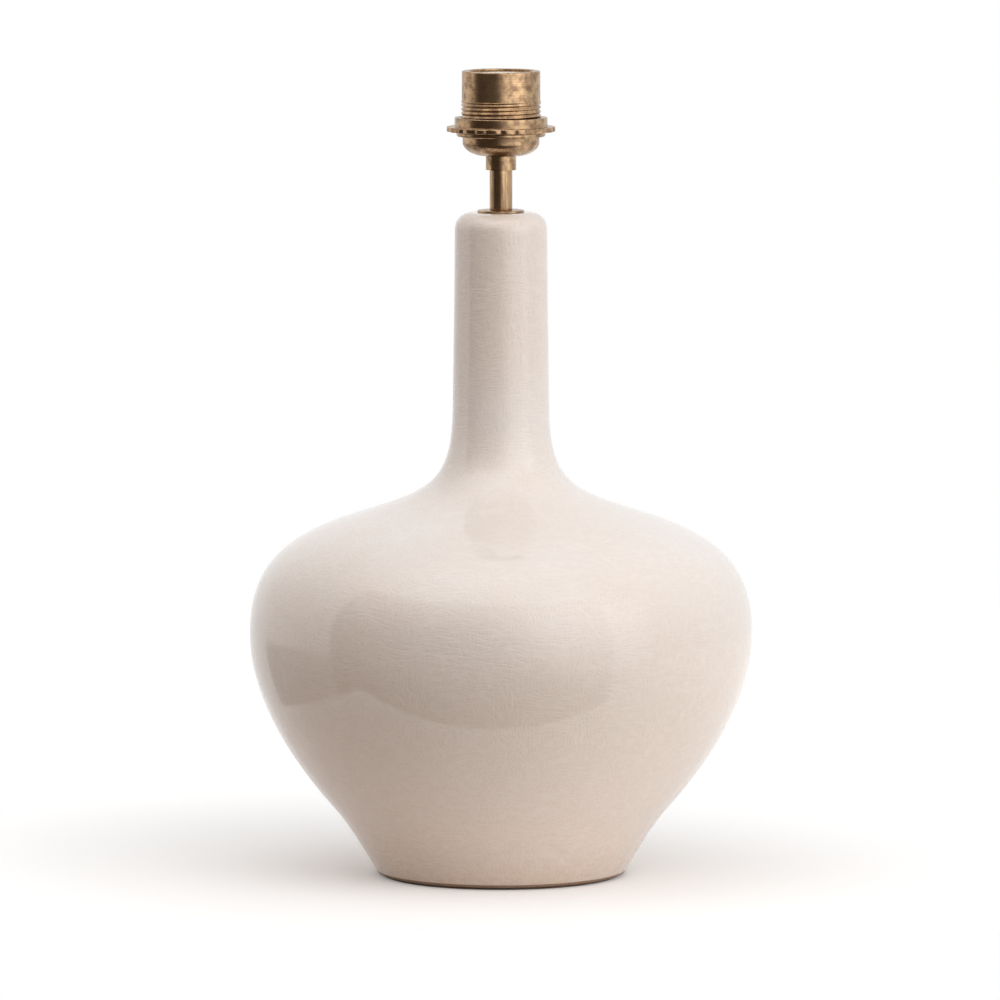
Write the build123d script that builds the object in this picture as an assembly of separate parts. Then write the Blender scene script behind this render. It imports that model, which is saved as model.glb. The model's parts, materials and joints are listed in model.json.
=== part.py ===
from build123d import *
import os
from math import cos, radians, sin, tan

# Table-lamp base. Millimetres and degrees. Z is up from the table, and the cable leaves at the back, +Y.

# Vase, outside: the wall leans out from the foot over the hip to the belly, and turns in to the neck
BODY_HEIGHT = 330.0
FOOT_RADIUS = 61.4
FOOT_LEAN = 32.0
FOOT_PULL = 10.7
FOOT_EDGE = 1.6
HIP_RADIUS = 82.2
HIP_HEIGHT = 32.5
HIP_LEAN = 40.8
HIP_PULL_DOWN = 11.6
HIP_PULL_UP = 15.8
BELLY_RADIUS = 125.0
BELLY_HEIGHT = 120.7
BELLY_PULL_DOWN = 40.4
BELLY_PULL_UP = 34.8
SHOULDER_RADIUS = 72.8
SHOULDER_RISE = 58.9
SHOULDER_SLOPE = 17.8
SHOULDER_PULL_OUT = 34.9
SHOULDER_PULL_IN = 40.1
NECK_ROOT_RADIUS = 24.1
NECK_ROOT_RISE = 53.5
NECK_PULL = 37.8
NECK_TOP_RADIUS = 22.8
NECK_EDGE = 8.5

# Vase, inside
WALL = 6.0
FLOOR_THICKNESS = 6.0
CEILING_THICKNESS = 7.0
INNER_CORNER = 3.0
FOOT_RING_WIDTH = 19.0
NECK_HOLE_RADIUS = 6.0

# Underside
FELT_THICKNESS = 1.2
FELT_INSET = 2.2
BOARD_THICKNESS = 2.0
REBATE_WIDTH = 6.0
BOARD_GAP = 0.4

# Cable hole and its bush, placed by the distance up the wall from the foot
CABLE_RISE = 17.0
CABLE_BORE_RADIUS = 3.4
GROMMET_WALL = 1.3
GROMMET_FLANGE_RADIUS = 7.0
GROMMET_FLANGE_THICKNESS = 1.6
GROMMET_EDGE = 0.7
GROMMET_TAIL = 1.0
GROMMET_GAP = 0.1
SPOT_FACE_DEPTH = 0.8
SPOT_FACE_MARGIN = 0.4

# Stem and the clamp under the neck's top wall
PLATE_RADIUS = 11.6
PLATE_THICKNESS = 1.2
PLATE_EDGE = 0.35
STEM_WALL = 0.5
STEM_LENGTH = 19.8
NIPPLE_RADIUS = 4.95
NIPPLE_BORE_RADIUS = 3.6
NIPPLE_TAIL = 6.0
NIPPLE_SHORTFALL = 0.5
NIPPLE_GAP = 0.15
THREAD_GAP = 0.05
WASHER_MARGIN = 3.0
CUSHION_THICKNESS = 2.0
WASHER_THICKNESS = 1.5
LOCK_WASHER_WIDTH = 3.4
LOCK_WASHER_THICKNESS = 2.2
LOCK_WASHER_SPLIT = 1.6
NUT_ACROSS_FLATS = 14.0
NUT_HEIGHT = 5.0

# Lampholder, from the screw shell outwards
SHELL_RADIUS = 13.3
SHELL_WALL = 0.4
SHELL_RIM_WIDTH = 5.2
SHELL_CORNER = 1.2
SHELL_DEPTH = 4.0
SLEEVE_WALL = 4.2
SKIRT_WALL = 1.45
FIT = 0.2

# Lampholder cap
CAP_COLLAR_WALL = 2.5
CAP_COLLAR_HEIGHT = 7.0
CAP_WALL = 1.4
CAP_DOME_HEIGHT = 6.5
CAP_DOME_SHOULDER = 1.5
CAP_DOME_FULLNESS = 0.5
CAP_SEAT = 0.7
CAP_FLAT_MARGIN = 4.5
SPIGOT_WALL = 1.2
SPIGOT_HEIGHT = 4.0
GRUB_RADIUS = 1.5
GRUB_SLOT_WIDTH = 0.6
GRUB_SLOT_DEPTH = 0.8
EARTH_MARGIN = 0.45
EARTH_TAG_RADIUS = 2.8
EARTH_TAG_THICKNESS = 0.6
EARTH_SCREW_RADIUS = 1.5
EARTH_HEAD_RADIUS = 2.4
EARTH_HEAD_HEIGHT = 1.5
EARTH_HEADROOM = 1.0

# Lampholder skirt and the ring that clamps a shade on its flange
SKIRT_FLANGE_WIDTH = 2.25
SKIRT_FLANGE_THICKNESS = 2.5
SKIRT_FLANGE_EDGE = 0.8
SKIRT_THREAD_LENGTH = 15.0
THREAD_DEPTH = 0.35
NOSE_LENGTH = 15.0
NOSE_EDGE = 0.6
LIP_WIDTH = 2.3
LIP_THICKNESS = 1.5
RING_GAP = 0.35
RING_HUB_WALL = 2.9
RING_HEIGHT = 7.0
RING_FLANGE_WIDTH = 4.0
RING_FLANGE_THICKNESS = 2.4
RING_EDGE = 0.5
RING_FLUTE_COUNT = 24
RING_FLUTE_RADIUS = 1.3

# Porcelain insert and the contacts that it carries
INSERT_DEPTH = 9.0
INSERT_CHAMFER = 2.5
INSERT_FLANGE_THICKNESS = 2.5
RECESS_MARGIN = 0.5
RECESS_DEPTH = 3.0
PLUNGER_RADIUS = 3.0
PLUNGER_DOME = 1.0
PLUNGER_COLLAR_WIDTH = 0.9
PLUNGER_COLLAR_THICKNESS = 1.5
PLUNGER_SEAT = 2.5
SPRING_WIRE_RADIUS = 0.2
SPRING_TURNS = 3.5
SPRING_GAP = 0.05
STRIP_THICKNESS = 1.0
STRIP_MARGIN = 0.8
STRIP_SCREW_RADIUS = 0.8
STRIP_SCREW_LENGTH = 4.0
TERMINAL_LENGTH = 6.5
TERMINAL_WIDTH = 8.0
TERMINAL_HEIGHT = 5.5
TERMINAL_INSET = 2.3
TERMINAL_ROOF = 1.0
TERMINAL_WIRE_RADIUS = 1.25
TERMINAL_SCREW_RADIUS = 1.4
TERMINAL_HEAD_RADIUS = 2.2
TERMINAL_HEAD_HEIGHT = 1.5
RIVET_RADIUS = 0.9
RIVET_HEAD_RADIUS = 1.5
RIVET_HEAD_HEIGHT = 0.6
RIVET_GRIP = 4.0

# How far a cutting tool runs past the face that it cuts
OVERCUT = 1.0

# Heights above the table
neck_root_height = BELLY_HEIGHT + SHOULDER_RISE + NECK_ROOT_RISE
cavity_floor = FELT_THICKNESS + FLOOR_THICKNESS
cavity_ceiling = BODY_HEIGHT - CEILING_THICKNESS
cushion_bottom = cavity_ceiling - CUSHION_THICKNESS
washer_bottom = cushion_bottom - WASHER_THICKNESS
lock_washer_bottom = washer_bottom - LOCK_WASHER_THICKNESS
nut_bottom = lock_washer_bottom - NUT_HEIGHT
plate_top = BODY_HEIGHT + PLATE_THICKNESS
holder_bottom = plate_top + STEM_LENGTH
collar_top = holder_bottom + CAP_COLLAR_HEIGHT
cap_floor = collar_top + CAP_WALL
cap_band_bottom = collar_top + CAP_DOME_HEIGHT
cap_bore_bottom = cap_band_bottom + CAP_WALL
earth_head_bottom = cap_floor + EARTH_TAG_THICKNESS
earth_head_top = earth_head_bottom + EARTH_HEAD_HEIGHT
insert_bottom = earth_head_top + EARTH_HEADROOM
cap_rim = insert_bottom + INSERT_DEPTH
cap_seat_height = cap_rim - SPIGOT_HEIGHT
skirt_flange_top = cap_seat_height + SKIRT_FLANGE_THICKNESS
thread_top = skirt_flange_top + SKIRT_THREAD_LENGTH
mouth = thread_top + NOSE_LENGTH
lip_bottom = mouth - LIP_THICKNESS
insert_top = cap_rim + INSERT_FLANGE_THICKNESS
recess_floor = insert_top - RECESS_DEPTH
chamber_top = recess_floor - PLUNGER_SEAT
chamber_bottom = insert_bottom + STRIP_THICKNESS
terminal_top = insert_bottom + TERMINAL_HEIGHT

# Radii that follow from the sizes above
neck_inner_radius = NECK_TOP_RADIUS - WALL
washer_radius = neck_inner_radius - WASHER_MARGIN
foot_opening_radius = FOOT_RADIUS - FOOT_RING_WIDTH
rebate_radius = foot_opening_radius + REBATE_WIDTH
grommet_barrel_radius = CABLE_BORE_RADIUS + GROMMET_WALL
clamp_bore_radius = NIPPLE_RADIUS + NIPPLE_GAP
stem_radius = clamp_bore_radius + STEM_WALL
thread_bore_radius = NIPPLE_RADIUS + THREAD_GAP
shell_outer_radius = SHELL_RADIUS + SHELL_WALL
shell_hole_radius = shell_outer_radius - SHELL_RIM_WIDTH
sleeve_bore_radius = shell_outer_radius + FIT
sleeve_radius = sleeve_bore_radius + SLEEVE_WALL
skirt_bore_radius = sleeve_radius + FIT
thread_radius = skirt_bore_radius + SKIRT_WALL
nose_radius = thread_radius - THREAD_DEPTH
flange_radius = thread_radius + SKIRT_FLANGE_WIDTH
lip_radius = skirt_bore_radius - LIP_WIDTH
cap_radius = skirt_bore_radius + CAP_SEAT
cap_collar_radius = thread_bore_radius + CAP_COLLAR_WALL
spigot_radius = skirt_bore_radius - THREAD_GAP
cap_bore_radius = spigot_radius - SPIGOT_WALL
cap_flat_radius = cap_bore_radius - CAP_FLAT_MARGIN
earth_offset = cap_flat_radius - EARTH_TAG_RADIUS - EARTH_MARGIN
insert_radius = cap_bore_radius - FIT
insert_flange_radius = skirt_bore_radius - FIT
recess_radius = shell_hole_radius - RECESS_MARGIN
plunger_collar_radius = PLUNGER_RADIUS + PLUNGER_COLLAR_WIDTH
chamber_radius = plunger_collar_radius + FIT
strip_width = 2 * (chamber_radius + STRIP_MARGIN)
ring_bore_radius = thread_radius + RING_GAP
ring_hub_radius = ring_bore_radius + RING_HUB_WALL
ring_radius = ring_hub_radius + RING_FLANGE_WIDTH
terminal_outer = insert_radius - TERMINAL_INSET
terminal_inner = terminal_outer - TERMINAL_LENGTH
strip_screw_offset = (chamber_radius + terminal_inner) / 2
rivet_offset = (shell_hole_radius + SHELL_RADIUS - SHELL_CORNER) / 2


def at(radius, height):
    """A point of a turned profile, which is drawn in the XZ plane."""
    return Vector(radius, 0, height)


def turned(*edges):
    """A solid turned about Z from the edges of a closed profile."""
    return revolve(make_face(Curve() + list(edges)), Axis.Z)


def turned_outline(*corners):
    """A solid turned about Z from the corners of a closed profile."""
    return turned(Polyline(*[at(*corner) for corner in corners], close=True))


def tube(outer_radius, inner_radius, bottom, top):
    """A plain upright tube."""
    bottom_corners = ((inner_radius, bottom), (outer_radius, bottom))
    return turned_outline(*bottom_corners, (outer_radius, top), (inner_radius, top))


def rod(radius, bottom, top, x=0.0, y=0.0):
    """A plain upright cylinder."""
    return Pos(x, y, bottom) * extrude(Circle(radius), top - bottom)


def block(x_range, width, bottom, top):
    """A box between two X values, centred on Y."""
    low, high = x_range
    return Pos((low + high) / 2, 0, bottom) * extrude(Rectangle(high - low, width), top - bottom)


def round_edges_at(solid, radius, height, fillet_radius):
    """The solid with its round edges of one radius and height filleted."""
    chosen = [
        edge
        for edge in solid.edges().filter_by(GeomType.CIRCLE)
        if abs(edge.radius - radius) < 1e-6 and abs(edge.arc_center.Z - height) < 1e-6
    ]
    return fillet(chosen, fillet_radius)


def leaning(angle):
    """The upward direction that leans out from the vertical by an angle."""
    return at(sin(radians(angle)), cos(radians(angle)))


def wall_curves():
    """The four curves of the vase's outer wall, from the foot up to the root of the neck."""
    up = leaning(0)
    foot_lean = leaning(FOOT_LEAN)
    hip_lean = leaning(HIP_LEAN)
    over_shoulder = leaning(SHOULDER_SLOPE - 90)
    foot = at(FOOT_RADIUS, FELT_THICKNESS)
    hip = at(HIP_RADIUS, HIP_HEIGHT)
    belly = at(BELLY_RADIUS, BELLY_HEIGHT)
    shoulder = at(SHOULDER_RADIUS, BELLY_HEIGHT + SHOULDER_RISE)
    neck_root = at(NECK_ROOT_RADIUS, neck_root_height)
    along_neck = (at(NECK_TOP_RADIUS, BODY_HEIGHT) - neck_root).normalized()
    return (
        Bezier(foot, foot + foot_lean * FOOT_PULL, hip - hip_lean * HIP_PULL_DOWN, hip),
        Bezier(hip, hip + hip_lean * HIP_PULL_UP, belly - up * BELLY_PULL_DOWN, belly),
        Bezier(belly, belly + up * BELLY_PULL_UP, shoulder - over_shoulder * SHOULDER_PULL_OUT, shoulder),
        Bezier(
            shoulder,
            shoulder + over_shoulder * SHOULDER_PULL_IN,
            neck_root - along_neck * NECK_PULL,
            neck_root,
        ),
    )


def inward_of(tangent):
    """The direction square to an upward tangent of the wall, towards the axis."""
    return at(-tangent.Z, tangent.X)


def vase_outside():
    """The vase as a solid, before it is hollowed."""
    curves = wall_curves()
    neck = Line(curves[-1] @ 1, at(NECK_TOP_RADIUS, BODY_HEIGHT))
    cap = Polyline(neck @ 1, at(0, BODY_HEIGHT), at(0, FELT_THICKNESS), curves[0] @ 0)
    solid = turned(*curves, neck, cap)
    solid = round_edges_at(solid, FOOT_RADIUS, FELT_THICKNESS, FOOT_EDGE)
    return round_edges_at(solid, NECK_TOP_RADIUS, BODY_HEIGHT, NECK_EDGE)


def vase_cavity():
    """The hollow of the vase: the outer wall moved in by its thickness, between a floor and a ceiling."""
    curves = wall_curves()
    lean = curves[0] % 0
    foot_inside = (curves[0] @ 0) + inward_of(lean) * WALL
    points = [foot_inside - lean * WALL, foot_inside]
    steps_per_curve = 5
    for curve in curves:
        for step in range(1, steps_per_curve + 1):
            along = step / steps_per_curve
            points.append((curve @ along) + inward_of(curve % along) * WALL)
    whole_wall = Spline(*points, tangents=(lean, curves[-1] % 1))
    wall = split(whole_wall, bisect_by=Plane.XY.offset(cavity_floor), keep=Keep.TOP)
    neck = Line(wall @ 1, at(neck_inner_radius, cavity_ceiling))
    ends = Polyline(neck @ 1, at(0, cavity_ceiling), at(0, cavity_floor), wall @ 0)
    return round_edges_at(turned(wall, neck, ends), (wall @ 0).X, cavity_floor, INNER_CORNER)


def cable_plane():
    """The plane square to the cable hole, on the outer wall at the back, with its Z pointing out."""
    foot_curve = wall_curves()[0]
    point = foot_curve.position_at(CABLE_RISE, position_mode=PositionMode.LENGTH)
    tangent = foot_curve.tangent_at(CABLE_RISE, position_mode=PositionMode.LENGTH)
    return Plane(origin=(0, point.X, point.Z), x_dir=(1, 0, 0), z_dir=(0, tangent.Z, -tangent.X))


def ceramic_body():
    """Hollow vase, open underneath, with holes for the nipple and the cable."""
    foot_opening = rod(foot_opening_radius, 0, cavity_floor + INNER_CORNER)
    rebate = rod(rebate_radius, 0, FELT_THICKNESS + BOARD_THICKNESS)
    neck_hole = rod(NECK_HOLE_RADIUS, cavity_ceiling - OVERCUT, BODY_HEIGHT + OVERCUT)
    hole_depth = 2 * WALL
    cable_hole = cable_plane() * extrude(Circle(grommet_barrel_radius + GROMMET_GAP), hole_depth, both=True)
    spot_face = rod(GROMMET_FLANGE_RADIUS + SPOT_FACE_MARGIN, -SPOT_FACE_DEPTH, hole_depth)
    cuts = [foot_opening, rebate, neck_hole, cable_hole, cable_plane() * spot_face]
    return vase_outside() - vase_cavity() - cuts


def base_board():
    """Hardboard disc in the rebate of the underside."""
    return rod(rebate_radius - BOARD_GAP, FELT_THICKNESS, FELT_THICKNESS + BOARD_THICKNESS)


def base_felt():
    """Felt disc that covers the foot and the board."""
    return rod(FOOT_RADIUS - FELT_INSET, 0, FELT_THICKNESS)


def cable_grommet():
    """Bush in the cable hole, with a rounded flange on the outside."""
    flange_top = GROMMET_FLANGE_THICKNESS - SPOT_FACE_DEPTH
    flange = rod(GROMMET_FLANGE_RADIUS, -SPOT_FACE_DEPTH, flange_top)
    flange = round_edges_at(flange, GROMMET_FLANGE_RADIUS, flange_top, GROMMET_EDGE)
    barrel = rod(grommet_barrel_radius, -WALL - GROMMET_TAIL, -SPOT_FACE_DEPTH)
    bore = rod(CABLE_BORE_RADIUS, -WALL - GROMMET_TAIL - OVERCUT, flange_top + OVERCUT)
    return cable_plane() * (flange + barrel - bore)


def neck_plate():
    """Brass disc on top of the neck."""
    plate = tube(PLATE_RADIUS, clamp_bore_radius, BODY_HEIGHT, plate_top)
    return round_edges_at(plate, PLATE_RADIUS, plate_top, PLATE_EDGE)


def stem_tube():
    """Brass tube that hides the nipple between the plate and the lampholder."""
    return tube(stem_radius, clamp_bore_radius, plate_top, holder_bottom)


def threaded_nipple():
    """Hollow rod from the clamp nut up into the lampholder's collar."""
    return tube(NIPPLE_RADIUS, NIPPLE_BORE_RADIUS, nut_bottom - NIPPLE_TAIL, collar_top - NIPPLE_SHORTFALL)


def neck_cushion():
    """Rubber washer under the neck's top wall."""
    return tube(washer_radius, clamp_bore_radius, cushion_bottom, cavity_ceiling)


def clamp_washer():
    """Wide steel washer under the cushion."""
    return tube(washer_radius, clamp_bore_radius, washer_bottom, cushion_bottom)


def lock_washer():
    """Split washer under the wide one."""
    outer_radius = clamp_bore_radius + LOCK_WASHER_WIDTH
    ring = tube(outer_radius, clamp_bore_radius, lock_washer_bottom, washer_bottom)
    reach = (0, outer_radius + OVERCUT)
    return ring - block(reach, LOCK_WASHER_SPLIT, lock_washer_bottom - OVERCUT, washer_bottom + OVERCUT)


def clamp_nut():
    """Hexagon nut with chamfered corners, on the nipple."""
    corner_radius = NUT_ACROSS_FLATS / 2 / cos(radians(30))
    chamfer_drop = (corner_radius - NUT_ACROSS_FLATS / 2) * tan(radians(30))
    hexagon = extrude(RegularPolygon(NUT_ACROSS_FLATS / 2, 6, major_radius=False), NUT_HEIGHT)
    chamfers = turned_outline(
        (0, nut_bottom),
        (NUT_ACROSS_FLATS / 2, nut_bottom),
        (corner_radius, nut_bottom + chamfer_drop),
        (corner_radius, lock_washer_bottom - chamfer_drop),
        (NUT_ACROSS_FLATS / 2, lock_washer_bottom),
        (0, lock_washer_bottom),
    )
    bore = rod(thread_bore_radius, nut_bottom - OVERCUT, lock_washer_bottom + OVERCUT)
    return (Pos(0, 0, nut_bottom) * hexagon & chamfers) - bore


def grub_plane():
    """The plane at the axis, halfway up the collar, with its Z pointing to the back."""
    return Plane(origin=(0, 0, (holder_bottom + collar_top) / 2), x_dir=(1, 0, 0), z_dir=(0, 1, 0))


def holder_cap():
    """Cup of the lampholder: a collar, a dome, a band and a spigot that the skirt screws on."""
    dome_start = cap_collar_radius + CAP_DOME_SHOULDER
    dome_width = cap_radius - dome_start
    outside = Polyline(
        at(thread_bore_radius, holder_bottom),
        at(cap_collar_radius, holder_bottom),
        at(cap_collar_radius, collar_top),
        at(dome_start, collar_top),
    )
    dome = Bezier(
        outside @ 1,
        at(dome_start + dome_width * CAP_DOME_FULLNESS, collar_top),
        at(cap_radius, cap_band_bottom - CAP_DOME_HEIGHT * CAP_DOME_FULLNESS),
        at(cap_radius, cap_band_bottom),
    )
    band = Polyline(
        dome @ 1,
        at(cap_radius, cap_seat_height),
        at(spigot_radius, cap_seat_height),
        at(spigot_radius, cap_rim),
        at(cap_bore_radius, cap_rim),
        at(cap_bore_radius, cap_bore_bottom),
    )
    inner_dome = Bezier(
        band @ 1,
        at(cap_bore_radius, cap_bore_bottom - (cap_bore_bottom - cap_floor) * CAP_DOME_FULLNESS),
        at(cap_flat_radius + CAP_FLAT_MARGIN * CAP_DOME_FULLNESS, cap_floor),
        at(cap_flat_radius, cap_floor),
    )
    inside = Polyline(inner_dome @ 1, at(thread_bore_radius, cap_floor), outside @ 0)
    cup = turned(outside, dome, band, inner_dome, inside)
    grub_hole = grub_plane() * extrude(Circle(GRUB_RADIUS), cap_collar_radius + OVERCUT)
    earth_hole = rod(EARTH_SCREW_RADIUS, collar_top - OVERCUT, cap_floor + OVERCUT, y=earth_offset)
    return cup - grub_hole - earth_hole


def cap_grub_screw():
    """Slotted screw through the collar, with its tip on the nipple."""
    tip = NIPPLE_RADIUS + THREAD_GAP
    length = cap_collar_radius - tip
    screw = Pos(0, 0, tip) * extrude(Circle(GRUB_RADIUS - THREAD_GAP), length)
    slot_floor = cap_collar_radius - GRUB_SLOT_DEPTH
    slot_outline = Rectangle(2 * GRUB_RADIUS, GRUB_SLOT_WIDTH)
    slot = Pos(0, 0, slot_floor) * extrude(slot_outline, GRUB_SLOT_DEPTH + OVERCUT)
    return grub_plane() * (screw - slot)


def earth_tag():
    """Ring tag on the cap's floor."""
    hole = rod(EARTH_SCREW_RADIUS, cap_floor - OVERCUT, earth_head_bottom + OVERCUT, y=earth_offset)
    return rod(EARTH_TAG_RADIUS, cap_floor, earth_head_bottom, y=earth_offset) - hole


def earth_screw():
    """Cheese-head screw that holds the earth tag on the cap's floor."""
    shank = rod(EARTH_SCREW_RADIUS - THREAD_GAP, collar_top + THREAD_GAP, earth_head_bottom, y=earth_offset)
    return shank + rod(EARTH_HEAD_RADIUS, earth_head_bottom, earth_head_top, y=earth_offset)


def holder_skirt():
    """Skirt of the lampholder: a shade flange, a threaded stretch, a plain nose and a lip at the mouth."""
    skirt = turned_outline(
        (skirt_bore_radius, cap_seat_height),
        (flange_radius, cap_seat_height),
        (flange_radius, skirt_flange_top),
        (thread_radius, skirt_flange_top),
        (thread_radius, thread_top),
        (nose_radius, thread_top),
        (nose_radius, mouth),
        (lip_radius, mouth),
        (lip_radius, lip_bottom),
        (skirt_bore_radius, lip_bottom),
    )
    for height in (cap_seat_height, skirt_flange_top):
        skirt = round_edges_at(skirt, flange_radius, height, SKIRT_FLANGE_EDGE)
    return round_edges_at(skirt, nose_radius, mouth, NOSE_EDGE)


def shade_ring():
    """Ring on the skirt's thread, with a fluted flange for the fingers."""
    flange_top = skirt_flange_top + RING_FLANGE_THICKNESS
    ring_top = skirt_flange_top + RING_HEIGHT
    ring = turned_outline(
        (ring_bore_radius, skirt_flange_top),
        (ring_radius, skirt_flange_top),
        (ring_radius, flange_top),
        (ring_hub_radius, flange_top),
        (ring_hub_radius, ring_top),
        (ring_bore_radius, ring_top),
    )
    ring = round_edges_at(ring, ring_radius, flange_top, RING_EDGE)
    ring = round_edges_at(ring, ring_hub_radius, ring_top, RING_EDGE)
    flute = rod(RING_FLUTE_RADIUS, skirt_flange_top - OVERCUT, flange_top + OVERCUT)
    flute_circle = ring_radius + RING_FLUTE_RADIUS / 2
    return ring - [place * flute for place in PolarLocations(flute_circle, RING_FLUTE_COUNT)]


def insulating_sleeve():
    """Porcelain tube between the screw shell and the skirt, held down by the lip."""
    return tube(sleeve_radius, sleeve_bore_radius, insert_top, lip_bottom)


def contact_shell():
    """Drawn brass shell on the insert's top face, with a rounded corner above its rim."""
    shell_top = mouth - SHELL_DEPTH
    rim_top = insert_top + SHELL_WALL
    shell = turned_outline(
        (shell_hole_radius, insert_top),
        (shell_outer_radius, insert_top),
        (shell_outer_radius, shell_top),
        (SHELL_RADIUS, shell_top),
        (SHELL_RADIUS, rim_top),
        (shell_hole_radius, rim_top),
    )
    shell = round_edges_at(shell, SHELL_RADIUS, rim_top, SHELL_CORNER)
    shell = round_edges_at(shell, shell_outer_radius, insert_top, SHELL_CORNER + SHELL_WALL)
    hole = rod(RIVET_RADIUS + THREAD_GAP, insert_top - OVERCUT, rim_top + OVERCUT)
    return shell - [Pos(side * rivet_offset, 0, 0) * hole for side in (-1, 1)]


def rivet_bottoms():
    """The lower ends of the short and the long rivet."""
    return {-1: insert_top - RIVET_GRIP, 1: terminal_top}


def shell_rivets():
    """Two rivets through the shell's rim: the long one reaches the neutral terminal."""
    rim_top = insert_top + SHELL_WALL
    rivets = []
    for side, bottom in rivet_bottoms().items():
        head = rod(RIVET_HEAD_RADIUS, rim_top, rim_top + RIVET_HEAD_HEIGHT)
        rivets.append(Pos(side * rivet_offset, 0, 0) * (rod(RIVET_RADIUS, bottom, rim_top) + head))
    return rivets


def spring_chamber(bottom):
    """The round chamber of the plunger's collar and spring."""
    return rod(chamber_radius, bottom, chamber_top)


def live_strip(gap):
    """The strip from the live terminal to under the spring, grown by a gap in its plane."""
    end = rod(strip_width / 2 + gap, insert_bottom, chamber_bottom)
    return end + block((-terminal_inner, 0), strip_width + 2 * gap, insert_bottom, chamber_bottom)


def holder_insert():
    """Porcelain block with a chamber for the sprung contact and a pocket for each terminal."""
    body = turned_outline(
        (0, insert_bottom),
        (insert_radius - INSERT_CHAMFER, insert_bottom),
        (insert_radius, cap_bore_bottom),
        (insert_radius, cap_rim),
        (insert_flange_radius, cap_rim),
        (insert_flange_radius, insert_top),
        (0, insert_top),
    )
    recess = rod(recess_radius, recess_floor, insert_top + OVERCUT)
    plunger_bore = rod(PLUNGER_RADIUS + FIT, insert_bottom, insert_top)
    cuts = [recess, plunger_bore, spring_chamber(insert_bottom), live_strip(FIT)]
    for side, rivet_bottom in rivet_bottoms().items():
        reach = sorted((side * (terminal_inner - FIT), side * (insert_radius + OVERCUT)))
        cuts.append(block(reach, TERMINAL_WIDTH + 2 * FIT, insert_bottom, terminal_top))
        cuts.append(rod(RIVET_RADIUS + THREAD_GAP, rivet_bottom, insert_top + OVERCUT, x=side * rivet_offset))
    screw_top = chamber_bottom + STRIP_SCREW_LENGTH
    cuts.append(rod(STRIP_SCREW_RADIUS + THREAD_GAP, insert_bottom, screw_top, x=-strip_screw_offset))
    return body - cuts


def centre_contact():
    """Sprung plunger that meets the foot of the lamp, with a collar that keeps it in the insert."""
    dome_bottom = insert_top - PLUNGER_DOME
    stem = rod(PLUNGER_RADIUS, chamber_top - PLUNGER_COLLAR_THICKNESS, dome_bottom)
    side = Line(at(0, dome_bottom), at(PLUNGER_RADIUS, dome_bottom))
    crown = ThreePointArc(
        side @ 1, at(PLUNGER_RADIUS * cos(radians(45)), dome_bottom + PLUNGER_DOME / 2), at(0, insert_top)
    )
    dome = turned(side, crown, Line(crown @ 1, side @ 0))
    collar = rod(plunger_collar_radius, chamber_top - PLUNGER_COLLAR_THICKNESS, chamber_top)
    return stem + collar + dome


def contact_spring():
    """Coil spring between the live strip and the plunger's collar, wound from half-turn arcs."""
    inset = SPRING_WIRE_RADIUS + SPRING_GAP
    bottom = chamber_bottom + inset
    height = chamber_top - PLUNGER_COLLAR_THICKNESS - inset - bottom
    coil_radius = plunger_collar_radius - inset
    half_turns = round(2 * SPRING_TURNS)
    rise = height / half_turns
    arcs = []
    for index in range(half_turns):
        reach = coil_radius if index % 2 == 0 else -coil_radius
        start = Vector(reach, 0, bottom + index * rise)
        middle = Vector(0, reach, bottom + (index + 0.5) * rise)
        end = Vector(-reach, 0, bottom + (index + 1) * rise)
        arcs.append(ThreePointArc(start, middle, end))
    wire = Plane(origin=arcs[0] @ 0, z_dir=arcs[0] % 0) * Circle(SPRING_WIRE_RADIUS)
    return sweep(wire, path=Wire(arcs))


def terminal_block(side):
    """A brass terminal with an upright wire hole and a screw hole from outside."""
    reach = sorted((side * terminal_inner, side * terminal_outer))
    body = block(reach, TERMINAL_WIDTH, insert_bottom, terminal_top)
    wire_hole_top = terminal_top - TERMINAL_ROOF
    wire_hole = rod(TERMINAL_WIRE_RADIUS, insert_bottom - OVERCUT, wire_hole_top, x=side * wire_offset())
    screw_hole = terminal_screw_plane(side) * extrude(Circle(TERMINAL_SCREW_RADIUS), terminal_outer + OVERCUT)
    return body - wire_hole - screw_hole


def wire_offset():
    """Distance from the axis to a terminal's wire hole."""
    return terminal_inner + 2 * TERMINAL_WIRE_RADIUS


def terminal_screw_plane(side):
    """The plane at a terminal's wire hole, with its Z along the screw, pointing out."""
    height = (insert_bottom + terminal_top) / 2
    return Plane(origin=(side * wire_offset(), 0, height), x_dir=(0, 1, 0), z_dir=(side, 0, 0))


def live_terminal():
    """Terminal joined to the strip that the spring stands on."""
    hole_radius = STRIP_SCREW_RADIUS + THREAD_GAP
    screw_hole = rod(hole_radius, insert_bottom - OVERCUT, chamber_bottom + OVERCUT, x=-strip_screw_offset)
    return terminal_block(-1) + live_strip(0) - screw_hole


def neutral_terminal():
    """Terminal under the long rivet."""
    return terminal_block(1)


def live_strip_screw():
    """Small screw that holds the live strip under the insert."""
    bottom = insert_bottom
    top = chamber_bottom + STRIP_SCREW_LENGTH
    return rod(STRIP_SCREW_RADIUS, bottom, top, x=-strip_screw_offset)


def terminal_screws():
    """The screws that clamp a wire in each terminal."""
    shank_length = terminal_outer - wire_offset()
    shank = extrude(Circle(TERMINAL_SCREW_RADIUS - THREAD_GAP), shank_length)
    head = Pos(0, 0, shank_length) * extrude(Circle(TERMINAL_HEAD_RADIUS), TERMINAL_HEAD_HEIGHT)
    return [terminal_screw_plane(side) * (shank + head) for side in (-1, 1)]


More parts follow.
